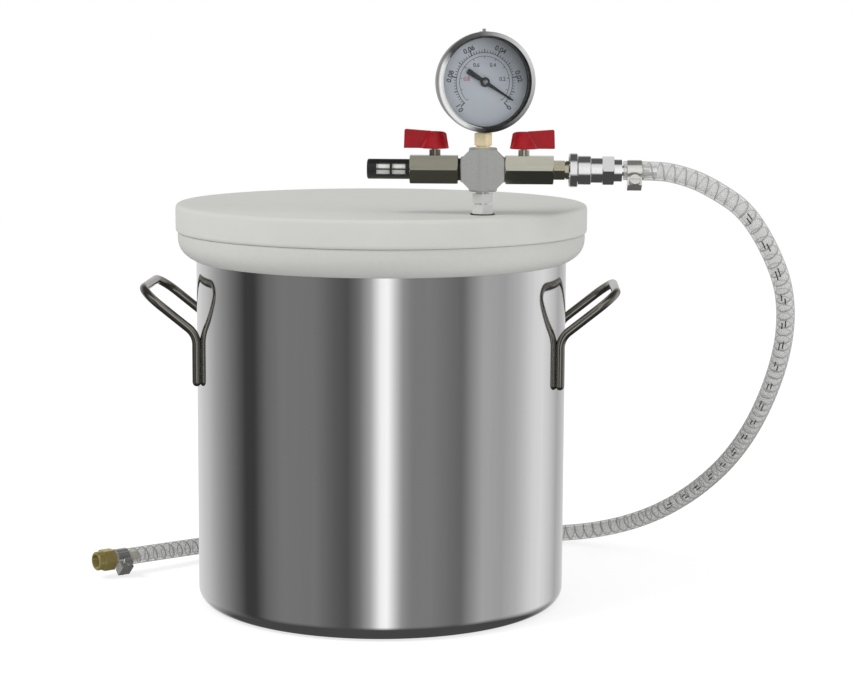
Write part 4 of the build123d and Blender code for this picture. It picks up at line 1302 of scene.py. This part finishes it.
# Heights and depths here are parts of a unit direction
CANOPY_FROM, CANOPY_TO = 0.30, 0.75
CANOPY_FRONT, CANOPY_BACK = -0.58, -0.30
CANOPY_LIGHT, CANOPY_DARK = 0.8, 0.10
PIT_FROM, PIT_TO = -0.32, -0.60
PIT_TONE = 0.07
SOFT_STRENGTH = 0.62

world = bpy.data.worlds.new("studio")
scene.world = world
world.use_nodes = True
tree = world.node_tree
tree.nodes.clear()
out = tree.nodes.new("ShaderNodeOutputWorld")
coords = tree.nodes.new("ShaderNodeTexCoord")
split = tree.nodes.new("ShaderNodeSeparateXYZ")
tree.links.new(coords.outputs["Generated"], split.inputs[0])
rightward, backward, upward = (split.outputs[axis] for axis in "XYZ")

# Screens by angle, a canopy overhead that is lit only in front, and a dark pit below
towards_viewer = combined(tree, "MULTIPLY", backward, -1.0)
angle = combined(tree, "ARCTAN2", rightward, towards_viewer)
studio_stops = [((degrees + 180) / 360, level(v)) for degrees, v in STUDIO]
screens = ramp(tree, mapped(tree, angle, -math.pi, math.pi), studio_stops)
canopy = ramp(
    tree,
    mapped(tree, backward, CANOPY_FRONT, CANOPY_BACK),
    [(0.0, level(CANOPY_LIGHT)), (1.0, level(CANOPY_DARK))],
)
tent = colour_mix(tree)
tree.links.new(mapped(tree, upward, CANOPY_FROM, CANOPY_TO), tent.inputs["Factor"])
tree.links.new(screens, tent.inputs["A"])
tree.links.new(canopy, tent.inputs["B"])
pit = colour_mix(tree)
pit.inputs["B"].default_value = level(PIT_TONE)
tree.links.new(mapped(tree, upward, PIT_FROM, PIT_TO), pit.inputs["Factor"])
tree.links.new(tent.outputs["Result"], pit.inputs["A"])

# Gloss sees the studio, matte surfaces a soft even light, and the camera plain white
gloss_back = tree.nodes.new("ShaderNodeBackground")
tree.links.new(pit.outputs["Result"], gloss_back.inputs["Color"])
soft_back = tree.nodes.new("ShaderNodeBackground")
soft_back.inputs["Color"].default_value = level(1.0)
soft_back.inputs["Strength"].default_value = SOFT_STRENGTH
white_back = tree.nodes.new("ShaderNodeBackground")
white_back.inputs["Color"].default_value = level(1.0)
rays, seen = seen_directly(tree)
unseen = tree.nodes.new("ShaderNodeMixShader")
tree.links.new(rays.outputs["Is Glossy Ray"], unseen.inputs["Fac"])
tree.links.new(soft_back.outputs[0], unseen.inputs[1])
tree.links.new(gloss_back.outputs[0], unseen.inputs[2])
final = tree.nodes.new("ShaderNodeMixShader")
tree.links.new(seen, final.inputs["Fac"])
tree.links.new(unseen.outputs[0], final.inputs[1])
tree.links.new(white_back.outputs[0], final.inputs[2])
tree.links.new(final.outputs[0], out.inputs["Surface"])

LAMP_TARGET = Vector((0, 0, 0.2))


def lamp(name, place, size, power):
    """Round lamp turned to the pot's middle; it isn't mirrored in anything."""
    data = bpy.data.lights.new(name, "AREA")
    data.shape = "DISK"
    data.size = size
    data.energy = power
    obj = bpy.data.objects.new(name, data)
    obj.location = place
    obj.rotation_euler = (LAMP_TARGET - Vector(place)).to_track_quat("-Z", "Y").to_euler()
    obj.visible_camera = False
    obj.visible_glossy = False
    scene.collection.objects.link(obj)


lamp("key", (-1.6, -1.1, 2.0), 1.2, 31.0)
lamp("fill", (1.9, -0.8, 0.9), 1.4, 14.0)
